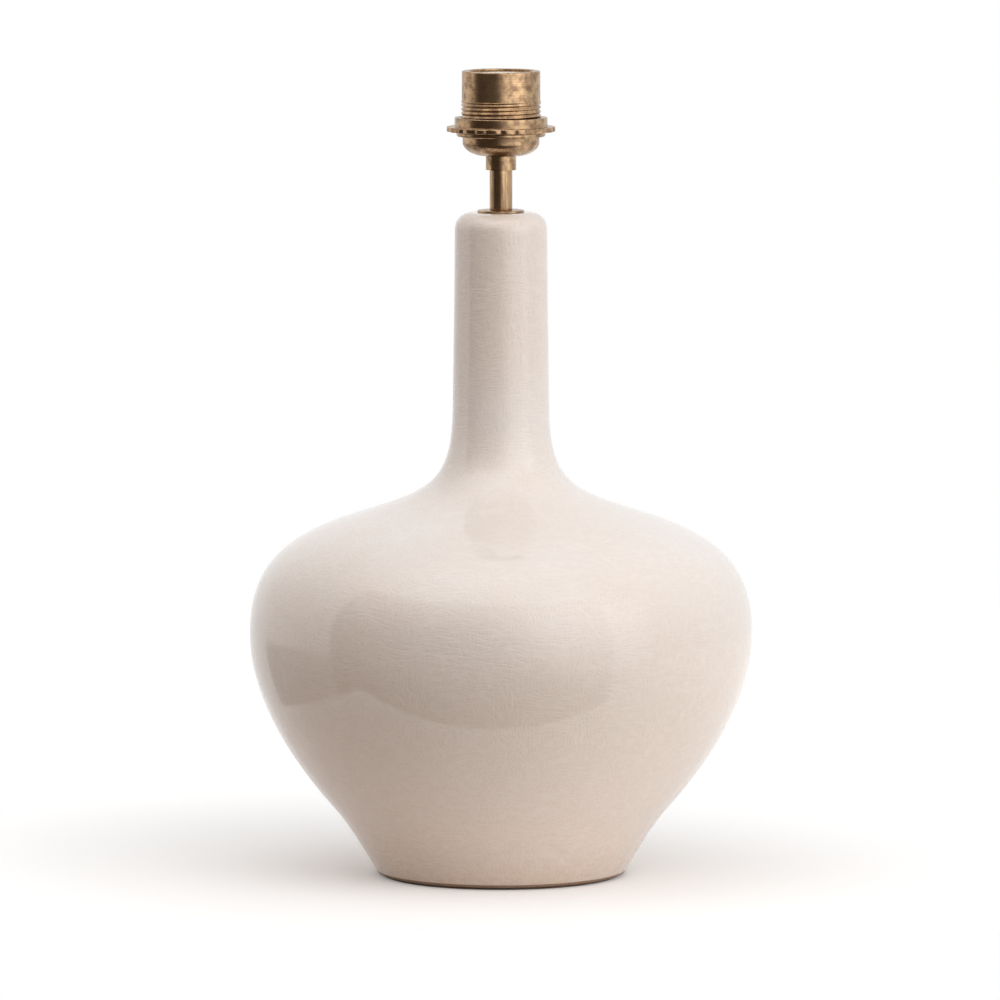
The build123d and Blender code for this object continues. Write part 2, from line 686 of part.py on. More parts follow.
PIECES = (
    ceramic_body,
    base_board,
    base_felt,
    cable_grommet,
    neck_plate,
    stem_tube,
    threaded_nipple,
    neck_cushion,
    clamp_washer,
    lock_washer,
    clamp_nut,
    holder_cap,
    cap_grub_screw,
    earth_tag,
    earth_screw,
    holder_skirt,
    shade_ring,
    insulating_sleeve,
    contact_shell,
    shell_rivets,
    holder_insert,
    centre_contact,
    contact_spring,
    live_terminal,
    live_strip_screw,
    neutral_terminal,
    terminal_screws,
)

os.makedirs("parts", exist_ok=True)
for piece in PIECES:
    made = piece()
    solids = made if isinstance(made, list) else [made]
    export_step(Compound(children=solids) if len(solids) > 1 else solids[0], f"parts/{piece.__name__}.step")
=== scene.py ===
import json
import logging
import math
from dataclasses import dataclass, field
from enum import Enum
from typing import Callable, Sequence

import bmesh
import bpy
import numpy as np
from mathutils import Matrix, Vector


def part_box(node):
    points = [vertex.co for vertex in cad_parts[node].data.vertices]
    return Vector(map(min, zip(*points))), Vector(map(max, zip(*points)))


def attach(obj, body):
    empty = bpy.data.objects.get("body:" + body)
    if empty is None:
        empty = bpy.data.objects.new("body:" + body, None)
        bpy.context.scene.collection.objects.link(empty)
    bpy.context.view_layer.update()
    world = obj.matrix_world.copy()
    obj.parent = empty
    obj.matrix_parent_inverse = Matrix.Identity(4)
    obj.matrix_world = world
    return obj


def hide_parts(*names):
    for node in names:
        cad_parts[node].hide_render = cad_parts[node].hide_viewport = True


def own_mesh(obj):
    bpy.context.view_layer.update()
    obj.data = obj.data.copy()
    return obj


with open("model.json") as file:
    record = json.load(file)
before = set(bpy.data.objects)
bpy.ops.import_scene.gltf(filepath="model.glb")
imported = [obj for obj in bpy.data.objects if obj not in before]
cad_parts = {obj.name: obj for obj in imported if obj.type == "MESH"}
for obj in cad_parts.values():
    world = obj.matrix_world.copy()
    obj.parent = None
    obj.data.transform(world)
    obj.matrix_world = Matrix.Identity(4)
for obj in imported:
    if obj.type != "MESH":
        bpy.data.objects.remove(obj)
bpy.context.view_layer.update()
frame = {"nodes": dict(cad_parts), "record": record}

log = logging.getLogger("lamp_base")

MM = 0.001
SMOOTH_ANGLE = math.radians(32)
CLOUD_MIDDLE = (0.3, 0.7)

Piece = bpy.types.Object
Material = bpy.types.Material
Node = bpy.types.Node
Socket = bpy.types.NodeSocket
Input = Socket | float | Sequence[float]
Pair = tuple[float, float]
Colour = tuple[float, float, float]
Place = tuple[float, float, float]
Shaper = Callable[[np.ndarray, np.ndarray, np.ndarray], np.ndarray]


class Body(Enum):
    """The bodies that pieces ride on."""

    BASE = "lamp_base"
    RING = "shade_ring"
    CONTACT = "centre_contact"


class Grain(Enum):
    """Which way the fine tool marks of a metal run."""

    DRAWN = "along the axis"
    TURNED = "around the axis"


# Outlines and meshes

def bezier(
    start: np.ndarray, pull: np.ndarray, push: np.ndarray, end: np.ndarray, steps: int
) -> np.ndarray:
    """Points along a cubic curve, without its end point.

    Args:
        start: First point.
        pull: Handle of the first point.
        push: Handle of the last point.
        end: Last point.
        steps: Number of points.

    Returns:
        The points, one in each row.
    """
    t = np.linspace(0.0, 1.0, steps, endpoint=False)[:, None]
    s = 1.0 - t
    return s**3 * start + 3 * s * s * t * pull + 3 * s * t * t * push + t**3 * end


def rounded(corners: Sequence[tuple[float, float, float]], steps: int = 5) -> np.ndarray:
    """A closed outline of a turned piece with its corners rounded.

    Args:
        corners: Radius, height and rounding of each corner.
        steps: Spans along each rounding.

    Returns:
        The outline's points, radius and height in each row.
    """
    points = []
    for index, (radius, height, rounding) in enumerate(corners):
        corner = np.array((radius, height))
        if rounding == 0.0:
            points.append(corner)
            continue
        before = np.array(corners[index - 1][:2]) - corner
        after = np.array(corners[(index + 1) % len(corners)][:2]) - corner
        before /= np.linalg.norm(before)
        after /= np.linalg.norm(after)
        half = math.acos(np.clip(before @ after, -1.0, 1.0)) / 2
        inward = (before + after) / np.linalg.norm(before + after)
        centre = corner + inward * rounding / math.sin(half)
        first = corner + before * rounding / math.tan(half) - centre
        turn = math.pi - 2 * half
        if before[0] * after[1] - before[1] * after[0] > 0:
            turn = -turn
        for angle in np.linspace(0.0, turn, steps + 1):
            spin = np.array(((math.cos(angle), -math.sin(angle)), (math.sin(angle), math.cos(angle))))
            points.append(centre + spin @ first)
    return np.array(points)


def subdivided(outline: np.ndarray, longest: float, closed: bool = True) -> np.ndarray:
    """The outline with its long spans divided evenly.

    Args:
        outline: Points of the outline.
        longest: Longest span that stays whole.
        closed: Whether the last point is joined to the first.

    Returns:
        The outline with the added points.
    """
    ends = np.roll(outline, -1, axis=0)
    spans = len(outline) if closed else len(outline) - 1
    points = []
    for start, end in zip(outline[:spans], ends[:spans]):
        pieces = max(1, math.ceil(np.linalg.norm(end - start) / longest))
        points.extend(start + (end - start) * step / pieces for step in range(pieces))
    if not closed:
        points.append(outline[-1])
    return np.array(points)


def mesh_object(name: str, places: np.ndarray, faces: Sequence[Sequence[int]]) -> Piece:
    """A smooth-shaded object in the scene, with its faces turned outwards.

    Args:
        name: Name of the object.
        places: Corner positions in metres.
        faces: Corner numbers of each face.

    Returns:
        The new object.
    """
    mesh = bpy.data.meshes.new(name)
    mesh.from_pydata(places.tolist(), [], faces)
    work = bmesh.new()
    work.from_mesh(mesh)
    poles = [corner for corner in work.verts if math.hypot(corner.co.x, corner.co.y) < 1e-9]
    bmesh.ops.remove_doubles(work, verts=poles, dist=1e-9)
    bmesh.ops.recalc_face_normals(work, faces=work.faces)
    work.to_mesh(mesh)
    work.free()
    piece = bpy.data.objects.new(name, mesh)
    bpy.context.scene.collection.objects.link(piece)
    soften(piece)
    return piece


def soften(piece: Piece) -> None:
    """Smooth shading with sharp edges where faces meet at a clear angle."""
    piece.data.shade_smooth()
    piece.data.set_sharp_from_angle(angle=SMOOTH_ANGLE)


def turned(name: str, outline: np.ndarray, segments: int, shape: Shaper | None = None) -> Piece:
    """A solid turned about the lamp's axis.

    Args:
        name: Name of the object.
        outline: Closed outline, or one that starts and ends on the axis.
        segments: Spans around the axis.
        shape: Gives the radius at each radius, height and angle, for threads and flutes.

    Returns:
        The new object.
    """
    angles = np.linspace(0.0, math.tau, segments, endpoint=False)[None, :]
    radius = np.repeat(outline[:, :1], segments, axis=1)
    height = np.repeat(outline[:, 1:], segments, axis=1)
    if shape is not None:
        radius = shape(radius, height, angles)
    places = np.stack((radius * np.cos(angles), radius * np.sin(angles), height), axis=-1)
    corner = np.arange(radius.size).reshape(radius.shape)
    on_axis = outline[0, 0] == 0.0
    lower = corner[:-1] if on_axis else corner
    upper = corner[1:] if on_axis else np.roll(corner, -1, axis=0)
    quads = np.stack((lower, np.roll(lower, -1, axis=1), np.roll(upper, -1, axis=1), upper), axis=-1)
    return mesh_object(name, places.reshape(-1, 3), quads.reshape(-1, 4).tolist())


def wire_along(name: str, route: np.ndarray, radius: float, sides: int) -> Piece:
    """A round wire along a route, with flat ends.

    Args:
        name: Name of the object.
        route: Points of the wire's centre line.
        radius: Radius of the wire.
        sides: Spans around the wire.

    Returns:
        The new object.
    """
    along = np.gradient(route, axis=0)
    along /= np.linalg.norm(along, axis=1)[:, None]
    across = np.cross(along, (0.0, 0.0, 1.0))
    across /= np.linalg.norm(across, axis=1)[:, None]
    above = np.cross(across, along)
    angles = np.linspace(0.0, math.tau, sides, endpoint=False)[None, :, None]
    places = route[:, None] + radius * (across[:, None] * np.cos(angles) + above[:, None] * np.sin(angles))
    corner = np.arange(len(route) * sides).reshape(-1, sides)
    lower, upper = corner[:-1], corner[1:]
    quads = np.stack((lower, np.roll(lower, -1, axis=1), np.roll(upper, -1, axis=1), upper), axis=-1)
    faces = quads.reshape(-1, 4).tolist() + [corner[0].tolist(), corner[-1].tolist()]
    return mesh_object(name, places.reshape(-1, 3), faces)


def cut_away(piece: Piece, cutter: Piece) -> None:
    """Cuts one mesh out of another and removes the cutter.

    Args:
        piece: The object that is cut.
        cutter: The object that is taken away from it.
    """
    cut = piece.modifiers.new("cut", "BOOLEAN")
    cut.operation = "DIFFERENCE"
    cut.solver = "EXACT"
    cut.object = cutter
    shown = piece.evaluated_get(bpy.context.evaluated_depsgraph_get())
    whole = piece.data
    piece.data = bpy.data.meshes.new_from_object(shown)
    piece.modifiers.clear()
    bpy.data.meshes.remove(whole)
    bpy.data.objects.remove(cutter)
    soften(piece)


@dataclass(frozen=True)
class Thread:
    """A rolled screw thread on a turned wall."""

    pitch: float
    depth: float
    bottom: float
    top: float
    run_out: float

    def relief(self, height: np.ndarray, angles: np.ndarray) -> np.ndarray:
        """How far the wall lies below the thread's crest.

        Args:
            height: Heights on the wall.
            angles: Angles around the axis.

        Returns:
            The depth at each point, which fades to nothing at both ends.
        """
        wave = 0.5 - 0.5 * np.cos(math.tau * height / self.pitch - angles)
        start = np.clip((height - self.bottom) / self.run_out, 0.0, 1.0)
        stop = np.clip((self.top - height) / self.run_out, 0.0, 1.0)
        return self.depth * wave * start * stop


# Finishes

class NodeSheet:
    """A new material's node tree, with short calls that add and join nodes."""

    def __init__(self, name: str) -> None:
        """Starts an empty sheet with an output node.

        Args:
            name: Name of the material.
        """
        self.material = bpy.data.materials.new(name)
        self.material.use_nodes = True
        self.tree = self.material.node_tree
        self.tree.nodes.clear()
        self.output = self.tree.nodes.new("ShaderNodeOutputMaterial")
        self.place = self.add("TexCoord").outputs["Object"]

    def add(self, kind: str, inputs: dict[str | int, Input] | None = None, **settings: object) -> Node:
        """Adds a node.

        Args:
            kind: Node type, without its common prefix.
            inputs: Socket name or number, and the value or the socket that feeds it.
            settings: Properties of the node.

        Returns:
            The new node.
        """
        node = self.tree.nodes.new("ShaderNode" + kind)
        for key, value in settings.items():
            setattr(node, key, value)
        for key, value in (inputs or {}).items():
            if isinstance(value, Socket):
                self.tree.links.new(value, node.inputs[key])
            else:
                node.inputs[key].default_value = value
        return node

    def scaled(self, place: Input, sizes: Place) -> Socket:
        """Coordinates in which a pattern of unit size gets these sizes in metres."""
        counts = tuple(1.0 / size for size in sizes)
        return self.add("VectorMath", {0: place, 1: counts}, operation="MULTIPLY").outputs[0]

    def noise(self, place: Input, detail: float = 3.0, roughness: float = 0.5) -> Socket:
        """A cloudy value around 0.5, with features of unit size."""
        inputs = {"Vector": place, "Scale": 1.0, "Detail": detail, "Roughness": roughness}
        return self.add("TexNoise", inputs).outputs["Fac"]

    def cloud(self, size: float, detail: float, roughness: float = 0.5) -> Socket:
        """A cloudy value around 0.5, with features of this size in metres."""
        return self.noise(self.scaled(self.place, (size,) * 3), detail, roughness)

    def drifted(self, place: Input, size: float, reach: float) -> Socket:
        """Coordinates pushed about by a smooth drift.

        Args:
            place: Coordinates to push.
            size: Size of the drift's features in metres.
            reach: How far the drift pushes in metres.

        Returns:
            The pushed coordinates.
        """
        cloud = self.add("TexNoise", {"Vector": place, "Scale": 1.0 / size, "Detail": 1.0}).outputs["Color"]
        centred = self.add("VectorMath", {0: cloud, 1: (0.5, 0.5, 0.5)}, operation="SUBTRACT").outputs[0]
        push = self.add("VectorMath", {0: centred, "Scale": 2.0 * reach}, operation="SCALE").outputs[0]
        return self.add("VectorMath", {0: place, 1: push}, operation="ADD").outputs[0]

    def edge_lines(self, place: Input, width: float) -> Socket:
        """Lines of value 1 along the edges of cells of unit size."""
        cells = self.add("TexVoronoi", {"Vector": place, "Scale": 1.0}, feature="DISTANCE_TO_EDGE")
        return self.span(cells.outputs["Distance"], (0.0, width), (1.0, 0.0))

    def span(self, value: Input, source: Pair, target: Pair) -> Socket:
        """A value carried smoothly from one range to another.

        Args:
            value: The value to carry.
            source: Its range.
            target: The range that it is carried to.

        Returns:
            The carried value, which stays inside the target range.
        """
        inputs = {"Value": value, 1: source[0], 2: source[1], 3: target[0], 4: target[1]}
        return self.add("MapRange", inputs, interpolation_type="SMOOTHSTEP").outputs["Result"]

    def math(self, operation: str, first: Input, second: Input = 0.0) -> Socket:
        """The result of one arithmetic step."""
        return self.add("Math", {0: first, 1: second}, operation=operation).outputs[0]

    def blend(self, share: Input, first: Input, second: Input) -> Socket:
        """A colour between two.

        Args:
            share: Share of the second colour.
            first: Colour at a share of 0.
            second: Colour at a share of 1.

        Returns:
            The blended colour.
        """
        first = (*first, 1.0) if isinstance(first, tuple) else first
        second = (*second, 1.0) if isinstance(second, tuple) else second
        return self.add("Mix", {0: share, 6: first, 7: second}, data_type="RGBA").outputs[2]

    def toned(self, value: Input, edges: Pair, first: Colour, second: Colour) -> Socket:
        """A colour that passes from one to another as a value crosses a range."""
        return self.blend(self.span(value, edges, (0.0, 1.0)), first, second)

    def axis_parts(self, place: Input) -> tuple[Socket, Socket]:
        """Splits coordinates into parts away from the lamp's axis and along it.

        Args:
            place: Coordinates to split.

        Returns:
            Distance from the axis, and height.
        """
        flat = self.add("VectorMath", {0: place, 1: (1.0, 1.0, 0.0)}, operation="MULTIPLY").outputs[0]
        distance = self.add("VectorMath", {0: flat}, operation="LENGTH").outputs["Value"]
        return distance, self.add("SeparateXYZ", {0: place}).outputs["Z"]

    def relief(self, height: Input, depth: float) -> Socket:
        """A surface normal from a relief of this depth in metres."""
        return self.add("Bump", {"Height": height, "Strength": 1.0, "Distance": depth}).outputs["Normal"]

    def surface(self, inputs: dict[str, Input]) -> Material:
        """Ends the sheet with the surface shader.

        Args:
            inputs: Socket names of the shader, and the values or sockets that feed them.

        Returns:
            The finished material.
        """
        shader = self.add("BsdfPrincipled", inputs)
        self.tree.links.new(shader.outputs["BSDF"], self.output.inputs["Surface"])
        return self.material


@dataclass(frozen=True)
class CrackleGlaze:
    """Cream glaze, crazed like woven cloth by fine upright and level cracks, under a clear, glossy top."""

    cream: Colour = (0.775, 0.71, 0.67)
    warm: Colour = (0.77, 0.64, 0.55)
    # Dark brown for painted shade at the neck and at the foot; at the neck it also stands for a thinner
    # glaze.
    thin: Colour = (0.60, 0.43, 0.31)
    crack: Colour = (0.90, 0.84, 0.78)
    narrow: float = 1.9 * MM
    long: float = 17.0 * MM
    mesh: float = 6.0 * MM
    patch: float = 22.0 * MM
    bend_size: float = 26.0 * MM
    bend_reach: float = 7.0 * MM
    wobble_size: float = 5.0 * MM
    wobble_reach: float = 0.45 * MM
    gap_size: float = 4.0 * MM
    gap_edges: Pair = (0.34, 0.58)
    gap_faint: float = 0.5
    weave_edges: Pair = (0.40, 0.60)
    line_width: float = 0.2
    loose_width: float = 0.07
    loose_share: float = 0.6
    faint: float = 0.65
    crack_share: float = 0.3
    crack_depth: float = 0.09 * MM
    tone_size: float = 55.0 * MM
    tone_share: float = 0.4
    # Warmer tone below the shoulder: partly the glaze's own tone, partly painted shade of the dimmer lower
    # body.
    warm_and_shaded_share: float = 0.9
    # Painted shade darkening the neck, where a lampshade's shadow would fall; partly a thinner glaze there.
    neck_thin_and_shaded_share: float = 0.2
    # Painted shade darkening the glaze towards the foot.
    foot_shade_share: float = 0.5
    foot_shade_height: float = 34.0 * MM
    warm_and_shaded_heights: Pair = (70.0 * MM, 180.0 * MM)
    neck_thin_and_shaded_heights: Pair = (225.0 * MM, 285.0 * MM)

    def cracks(self, sheet: NodeSheet) -> Socket:
        """The net of cracks.

        Args:
            sheet: The glaze's node sheet.

        Returns:
            A value that is 1 on a crack.
        """
        bent = sheet.drifted(sheet.place, self.bend_size, self.bend_reach)
        bent = sheet.drifted(bent, self.wobble_size, self.wobble_reach)
        narrow, long, edges = self.narrow, self.long, self.weave_edges
        upright = sheet.edge_lines(sheet.scaled(bent, (narrow, narrow, long)), self.line_width)
        level = sheet.edge_lines(sheet.scaled(bent, (long, long, narrow)), self.line_width)
        weave = sheet.cloud(self.patch, 1.0)
        upright = sheet.math("MULTIPLY", upright, sheet.span(weave, edges, (self.faint, 1.0)))
        level = sheet.math("MULTIPLY", level, sheet.span(weave, edges, (1.0, self.faint)))
        fine = sheet.math("MAXIMUM", upright, level)
        gaps = sheet.noise(sheet.scaled(bent, (self.gap_size,) * 3), 2.0)
        fine = sheet.math("MULTIPLY", fine, sheet.span(gaps, self.gap_edges, (self.gap_faint, 1.0)))
        loose = sheet.edge_lines(sheet.scaled(bent, (self.mesh,) * 3), self.loose_width)
        loose = sheet.math("MULTIPLY", loose, self.loose_share)
        return sheet.math("MAXIMUM", fine, loose)

    def material(self) -> Material:
        """Joins the glaze's nodes.

        Returns:
            The finished material.
        """
        sheet = NodeSheet("crackle_glaze")
        cracks = self.cracks(sheet)
        cloud = sheet.cloud(self.tone_size, 2.0)
        mottle = sheet.span(cloud, CLOUD_MIDDLE, (0.0, self.tone_share))
        tone = sheet.blend(mottle, self.cream, self.warm)
        _, height = sheet.axis_parts(sheet.place)
        # Warmer and darker below the shoulder, paler above: partly the glaze's own tone, partly painted
        # shade.
        low = sheet.span(height, self.warm_and_shaded_heights, (self.warm_and_shaded_share, 0.0))
        tone = sheet.blend(low, tone, self.warm)
        # Darker up the neck: painted shade of a lampshade's shadow, partly a thinner glaze.
        neck = sheet.span(height, self.neck_thin_and_shaded_heights, (0.0, self.neck_thin_and_shaded_share))
        tone = sheet.blend(neck, tone, self.thin)
        # Darker and browner towards the foot: painted shade under the belly.
        foot = sheet.span(height, (0.0, self.foot_shade_height), (self.foot_shade_share, 0.0))
        tone = sheet.blend(foot, tone, self.thin)
        tone = sheet.blend(sheet.math("MULTIPLY", cracks, self.crack_share), tone, self.crack)
        return sheet.surface({
            "Base Color": tone,
            "Roughness": 0.5,
            "Specular IOR Level": 0.15,
            "Normal": sheet.relief(sheet.math("MULTIPLY", cracks, -1.0), self.crack_depth),
            "Coat Weight": 1.0,
            "Coat Roughness": 0.08,
            "Coat IOR": 1.52,
        })


@dataclass(frozen=True)
class BareClay:
    """Unglazed fired clay of the foot and the inside."""

    pale: Colour = (0.36, 0.24, 0.16)
    dark: Colour = (0.24, 0.15, 0.10)
    grain: float = 0.6 * MM
    depth: float = 0.08 * MM

    def material(self) -> Material:
        """Joins the clay's nodes.

        Returns:
            The finished material.
        """
        sheet = NodeSheet("bare_clay")
        grit = sheet.cloud(self.grain, 4.0, 0.65)
        return sheet.surface({
            "Base Color": sheet.toned(grit, CLOUD_MIDDLE, self.pale, self.dark),
            "Roughness": 0.85,
            "Normal": sheet.relief(grit, self.depth),
        })


@dataclass(frozen=True)
class AgedBrass:
    """Brown-toned brass with fine tool marks and uneven patina."""

    grain: Grain
    bright: Colour = (0.50, 0.335, 0.19)
    brown: Colour = (0.21, 0.13, 0.08)
    patina_size: float = 4.0 * MM
    patina_share: float = 0.75
    drawn_width: float = 0.4
    drawn_length: float = 4.0
    stain_edges: Pair = (0.36, 0.66)
    roughness: Pair = (0.2, 0.36)
    mark_width: float = 0.25 * MM
    mark_length: float = 40.0 * MM
    mark_depth: float = 0.006 * MM
    mark_share: float = 0.25

    def marks(self, sheet: NodeSheet) -> Socket:
        """Fine streaks that follow the grain.

        Args:
            sheet: The brass's node sheet.

        Returns:
            A cloudy value, drawn out along the grain.
        """
        width = self.mark_width
        if self.grain is Grain.DRAWN:
            return sheet.noise(sheet.scaled(sheet.place, (width, width, self.mark_length)), 2.0)
        distance, height = sheet.axis_parts(sheet.place)
        level = sheet.add("CombineXYZ", {0: distance, 1: height}).outputs[0]
        return sheet.noise(sheet.scaled(level, (width,) * 3), 2.0)

    def patina(self, sheet: NodeSheet) -> Socket:
        """Cloudy tarnish, drawn out along the stem.

        Args:
            sheet: The brass's node sheet.

        Returns:
            A cloudy value.
        """
        size = self.patina_size
        sizes = (size,) * 3
        if self.grain is Grain.DRAWN:
            sizes = (self.drawn_width * size, self.drawn_width * size, self.drawn_length * size)
        return sheet.noise(sheet.scaled(sheet.place, sizes), 5.0, 0.6)

    def material(self) -> Material:
        """Joins the brass's nodes.

        Returns:
            The finished material.
        """
        sheet = NodeSheet(f"aged_brass_{self.grain.name.lower()}")
        marks = self.marks(sheet)
        cloud = self.patina(sheet)
        tarnish = sheet.math("MULTIPLY", cloud, self.patina_share)
        stain = sheet.math("ADD", tarnish, sheet.math("MULTIPLY", marks, self.mark_share))
        return sheet.surface({
            "Base Color": sheet.toned(stain, self.stain_edges, self.bright, self.brown),
            "Metallic": 1.0,
            "Roughness": sheet.span(stain, CLOUD_MIDDLE, self.roughness),
            "Normal": sheet.relief(marks, self.mark_depth),
        })


@dataclass(frozen=True)
class BrightBrass:
    """Bare brass of the electrical contacts."""

    clean: Colour = (0.80, 0.60, 0.30)
    dull: Colour = (0.62, 0.43, 0.19)
    stain_size: float = 2.5 * MM
    stain_edges: Pair = (0.35, 0.7)
    roughness: Pair = (0.16, 0.32)

    def material(self) -> Material:
        """Joins the contacts' nodes.

        Returns:
            The finished material.
        """
        sheet = NodeSheet("bright_brass")
        cloud = sheet.cloud(self.stain_size, 4.0, 0.6)
        return sheet.surface({
            "Base Color": sheet.toned(cloud, self.stain_edges, self.clean, self.dull),
            "Metallic": 1.0,
            "Roughness": sheet.span(cloud, CLOUD_MIDDLE, self.roughness),
        })


@dataclass(frozen=True)
class WhitePorcelain:
    """Glazed white porcelain of the lampholder's insulators."""

    white: Colour = (0.84, 0.83, 0.79)
    speck: Colour = (0.62, 0.58, 0.52)
    speck_size: float = 0.7 * MM
    speck_edges: Pair = (0.70, 0.76)
    speck_share: float = 0.6
    ripple_size: float = 5.0 * MM
    ripple_depth: float = 0.05 * MM

    def material(self) -> Material:
        """Joins the porcelain's nodes.

        Returns:
            The finished material.
        """
        sheet = NodeSheet("white_porcelain")
        dots = sheet.cloud(self.speck_size, 2.0)
        ripple = sheet.cloud(self.ripple_size, 1.0)
        specks = sheet.span(dots, self.speck_edges, (0.0, self.speck_share))
        return sheet.surface({
            "Base Color": sheet.blend(specks, self.white, self.speck),
            "Roughness": 0.22,
            "Normal": sheet.relief(ripple, self.ripple_depth),
        })


@dataclass(frozen=True)
class BrownFelt:
    """Pressed wool felt."""

    pale: Colour = (0.27, 0.185, 0.13)
    dark: Colour = (0.12, 0.08, 0.055)
    fibre: float = 0.12 * MM
    fibre_slimness: float = 14.0
    bend_size: float = 2.5 * MM
    bend_reach: float = 1.2 * MM
    nap_edges: Pair = (0.45, 0.75)
    nap_depth: float = 0.15 * MM

    def material(self) -> Material:
        """Joins the felt's nodes.

        Returns:
            The finished material.
        """
        sheet = NodeSheet("brown_felt")
        bent = sheet.drifted(sheet.place, self.bend_size, self.bend_reach)
        thin, long = self.fibre, self.fibre_slimness * self.fibre
        across = sheet.noise(sheet.scaled(bent, (thin, long, thin)), 3.0, 0.6)
        along = sheet.noise(sheet.scaled(bent, (long, thin, thin)), 3.0, 0.6)
        nap = sheet.math("MAXIMUM", across, along)
        return sheet.surface({
            "Base Color": sheet.toned(nap, self.nap_edges, self.dark, self.pale),
            "Roughness": 0.95,
            "Normal": sheet.relief(nap, self.nap_depth),
            "Sheen Weight": 0.35,
            "Sheen Roughness": 0.5,
        })


@dataclass(frozen=True)
class DarkRubber:
    """Matte moulded rubber."""

    black: Colour = (0.030, 0.028, 0.026)
    dusty: Colour = (0.060, 0.056, 0.050)
    dust_size: float = 3.0 * MM
    dust_edges: Pair = (0.4, 0.75)
    roughness: Pair = (0.5, 0.68)
    pore_size: float = 0.25 * MM
    pore_depth: float = 0.02 * MM

    def material(self) -> Material:
        """Joins the rubber's nodes.

        Returns:
            The finished material.
        """
        sheet = NodeSheet("dark_rubber")
        dust = sheet.cloud(self.dust_size, 4.0, 0.6)
        pores = sheet.cloud(self.pore_size, 2.0)
        return sheet.surface({
            "Base Color": sheet.toned(dust, self.dust_edges, self.black, self.dusty),
            "Roughness": sheet.span(dust, CLOUD_MIDDLE, self.roughness),
            "Normal": sheet.relief(pores, self.pore_depth),
        })


@dataclass(frozen=True)
class ZincPlate:
    """Zinc-plated steel of the fixings."""

    pale: Colour = (0.62, 0.62, 0.60)
    grey: Colour = (0.44, 0.44, 0.43)
    stain_size: float = 1.6 * MM
    roughness: Pair = (0.26, 0.42)

    def material(self) -> Material:
        """Joins the plated steel's nodes.

        Returns:
            The finished material.
        """
        sheet = NodeSheet("zinc_plate")
        cloud = sheet.cloud(self.stain_size, 4.0, 0.6)
        return sheet.surface({
            "Base Color": sheet.toned(cloud, CLOUD_MIDDLE, self.pale, self.grey),
            "Metallic": 1.0,
            "Roughness": sheet.span(cloud, CLOUD_MIDDLE, self.roughness),
        })


@dataclass(frozen=True)
class Hardboard:
    """Pressed wood-fibre board."""

    tan: Colour = (0.25, 0.15, 0.08)
    dark: Colour = (0.13, 0.075, 0.04)
    fibre_width: float = 0.3 * MM
    fibre_length: float = 2.4 * MM
    fibre_depth: float = 0.03 * MM
    fibre_edges: Pair = (0.35, 0.68)
    bend_size: float = 4.0 * MM
    bend_reach: float = 1.5 * MM

    def material(self) -> Material:
        """Joins the board's nodes.

        Returns:
            The finished material.
        """
        sheet = NodeSheet("hardboard")
        bent = sheet.drifted(sheet.place, self.bend_size, self.bend_reach)
        sizes = (self.fibre_width, self.fibre_length, self.fibre_width)
        fibre = sheet.noise(sheet.scaled(bent, sizes), 4.0, 0.65)
        return sheet.surface({
            "Base Color": sheet.toned(fibre, self.fibre_edges, self.tan, self.dark),
            "Roughness": 0.6,
            "Normal": sheet.relief(fibre, self.fibre_depth),
        })


# Sub-assemblies

def settle(piece: Piece, body: Body, slot: str, finish: Material, *nodes: str) -> None:
    """Gives a new piece its finish, its body and the nodes that it stands for.

    Args:
        piece: The new piece, in place.
        body: The body that it rides on.
        slot: The record's material slot; not used.
        finish: Its material.
        nodes: The nodes that it stands for.
    """
    if not piece.data.materials:
        piece.data.materials.append(finish)
    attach(piece, body.value)
    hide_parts(*nodes)
    log.info("%s: %d faces, for %s", piece.name, len(piece.data.polygons), ", ".join(nodes))


def dress_nodes(finish: Material, *nodes: str) -> None:
    """Gives nodes that keep their own mesh a finish and soft shading.

    Args:
        finish: Their material.
        nodes: Names of the nodes.
    """
    for node in nodes:
        piece = frame["nodes"][node]
        piece.data.materials.clear()
        piece.data.materials.append(finish)
        soften(piece)
        log.info("%s: %d faces, kept", node, len(piece.data.polygons))


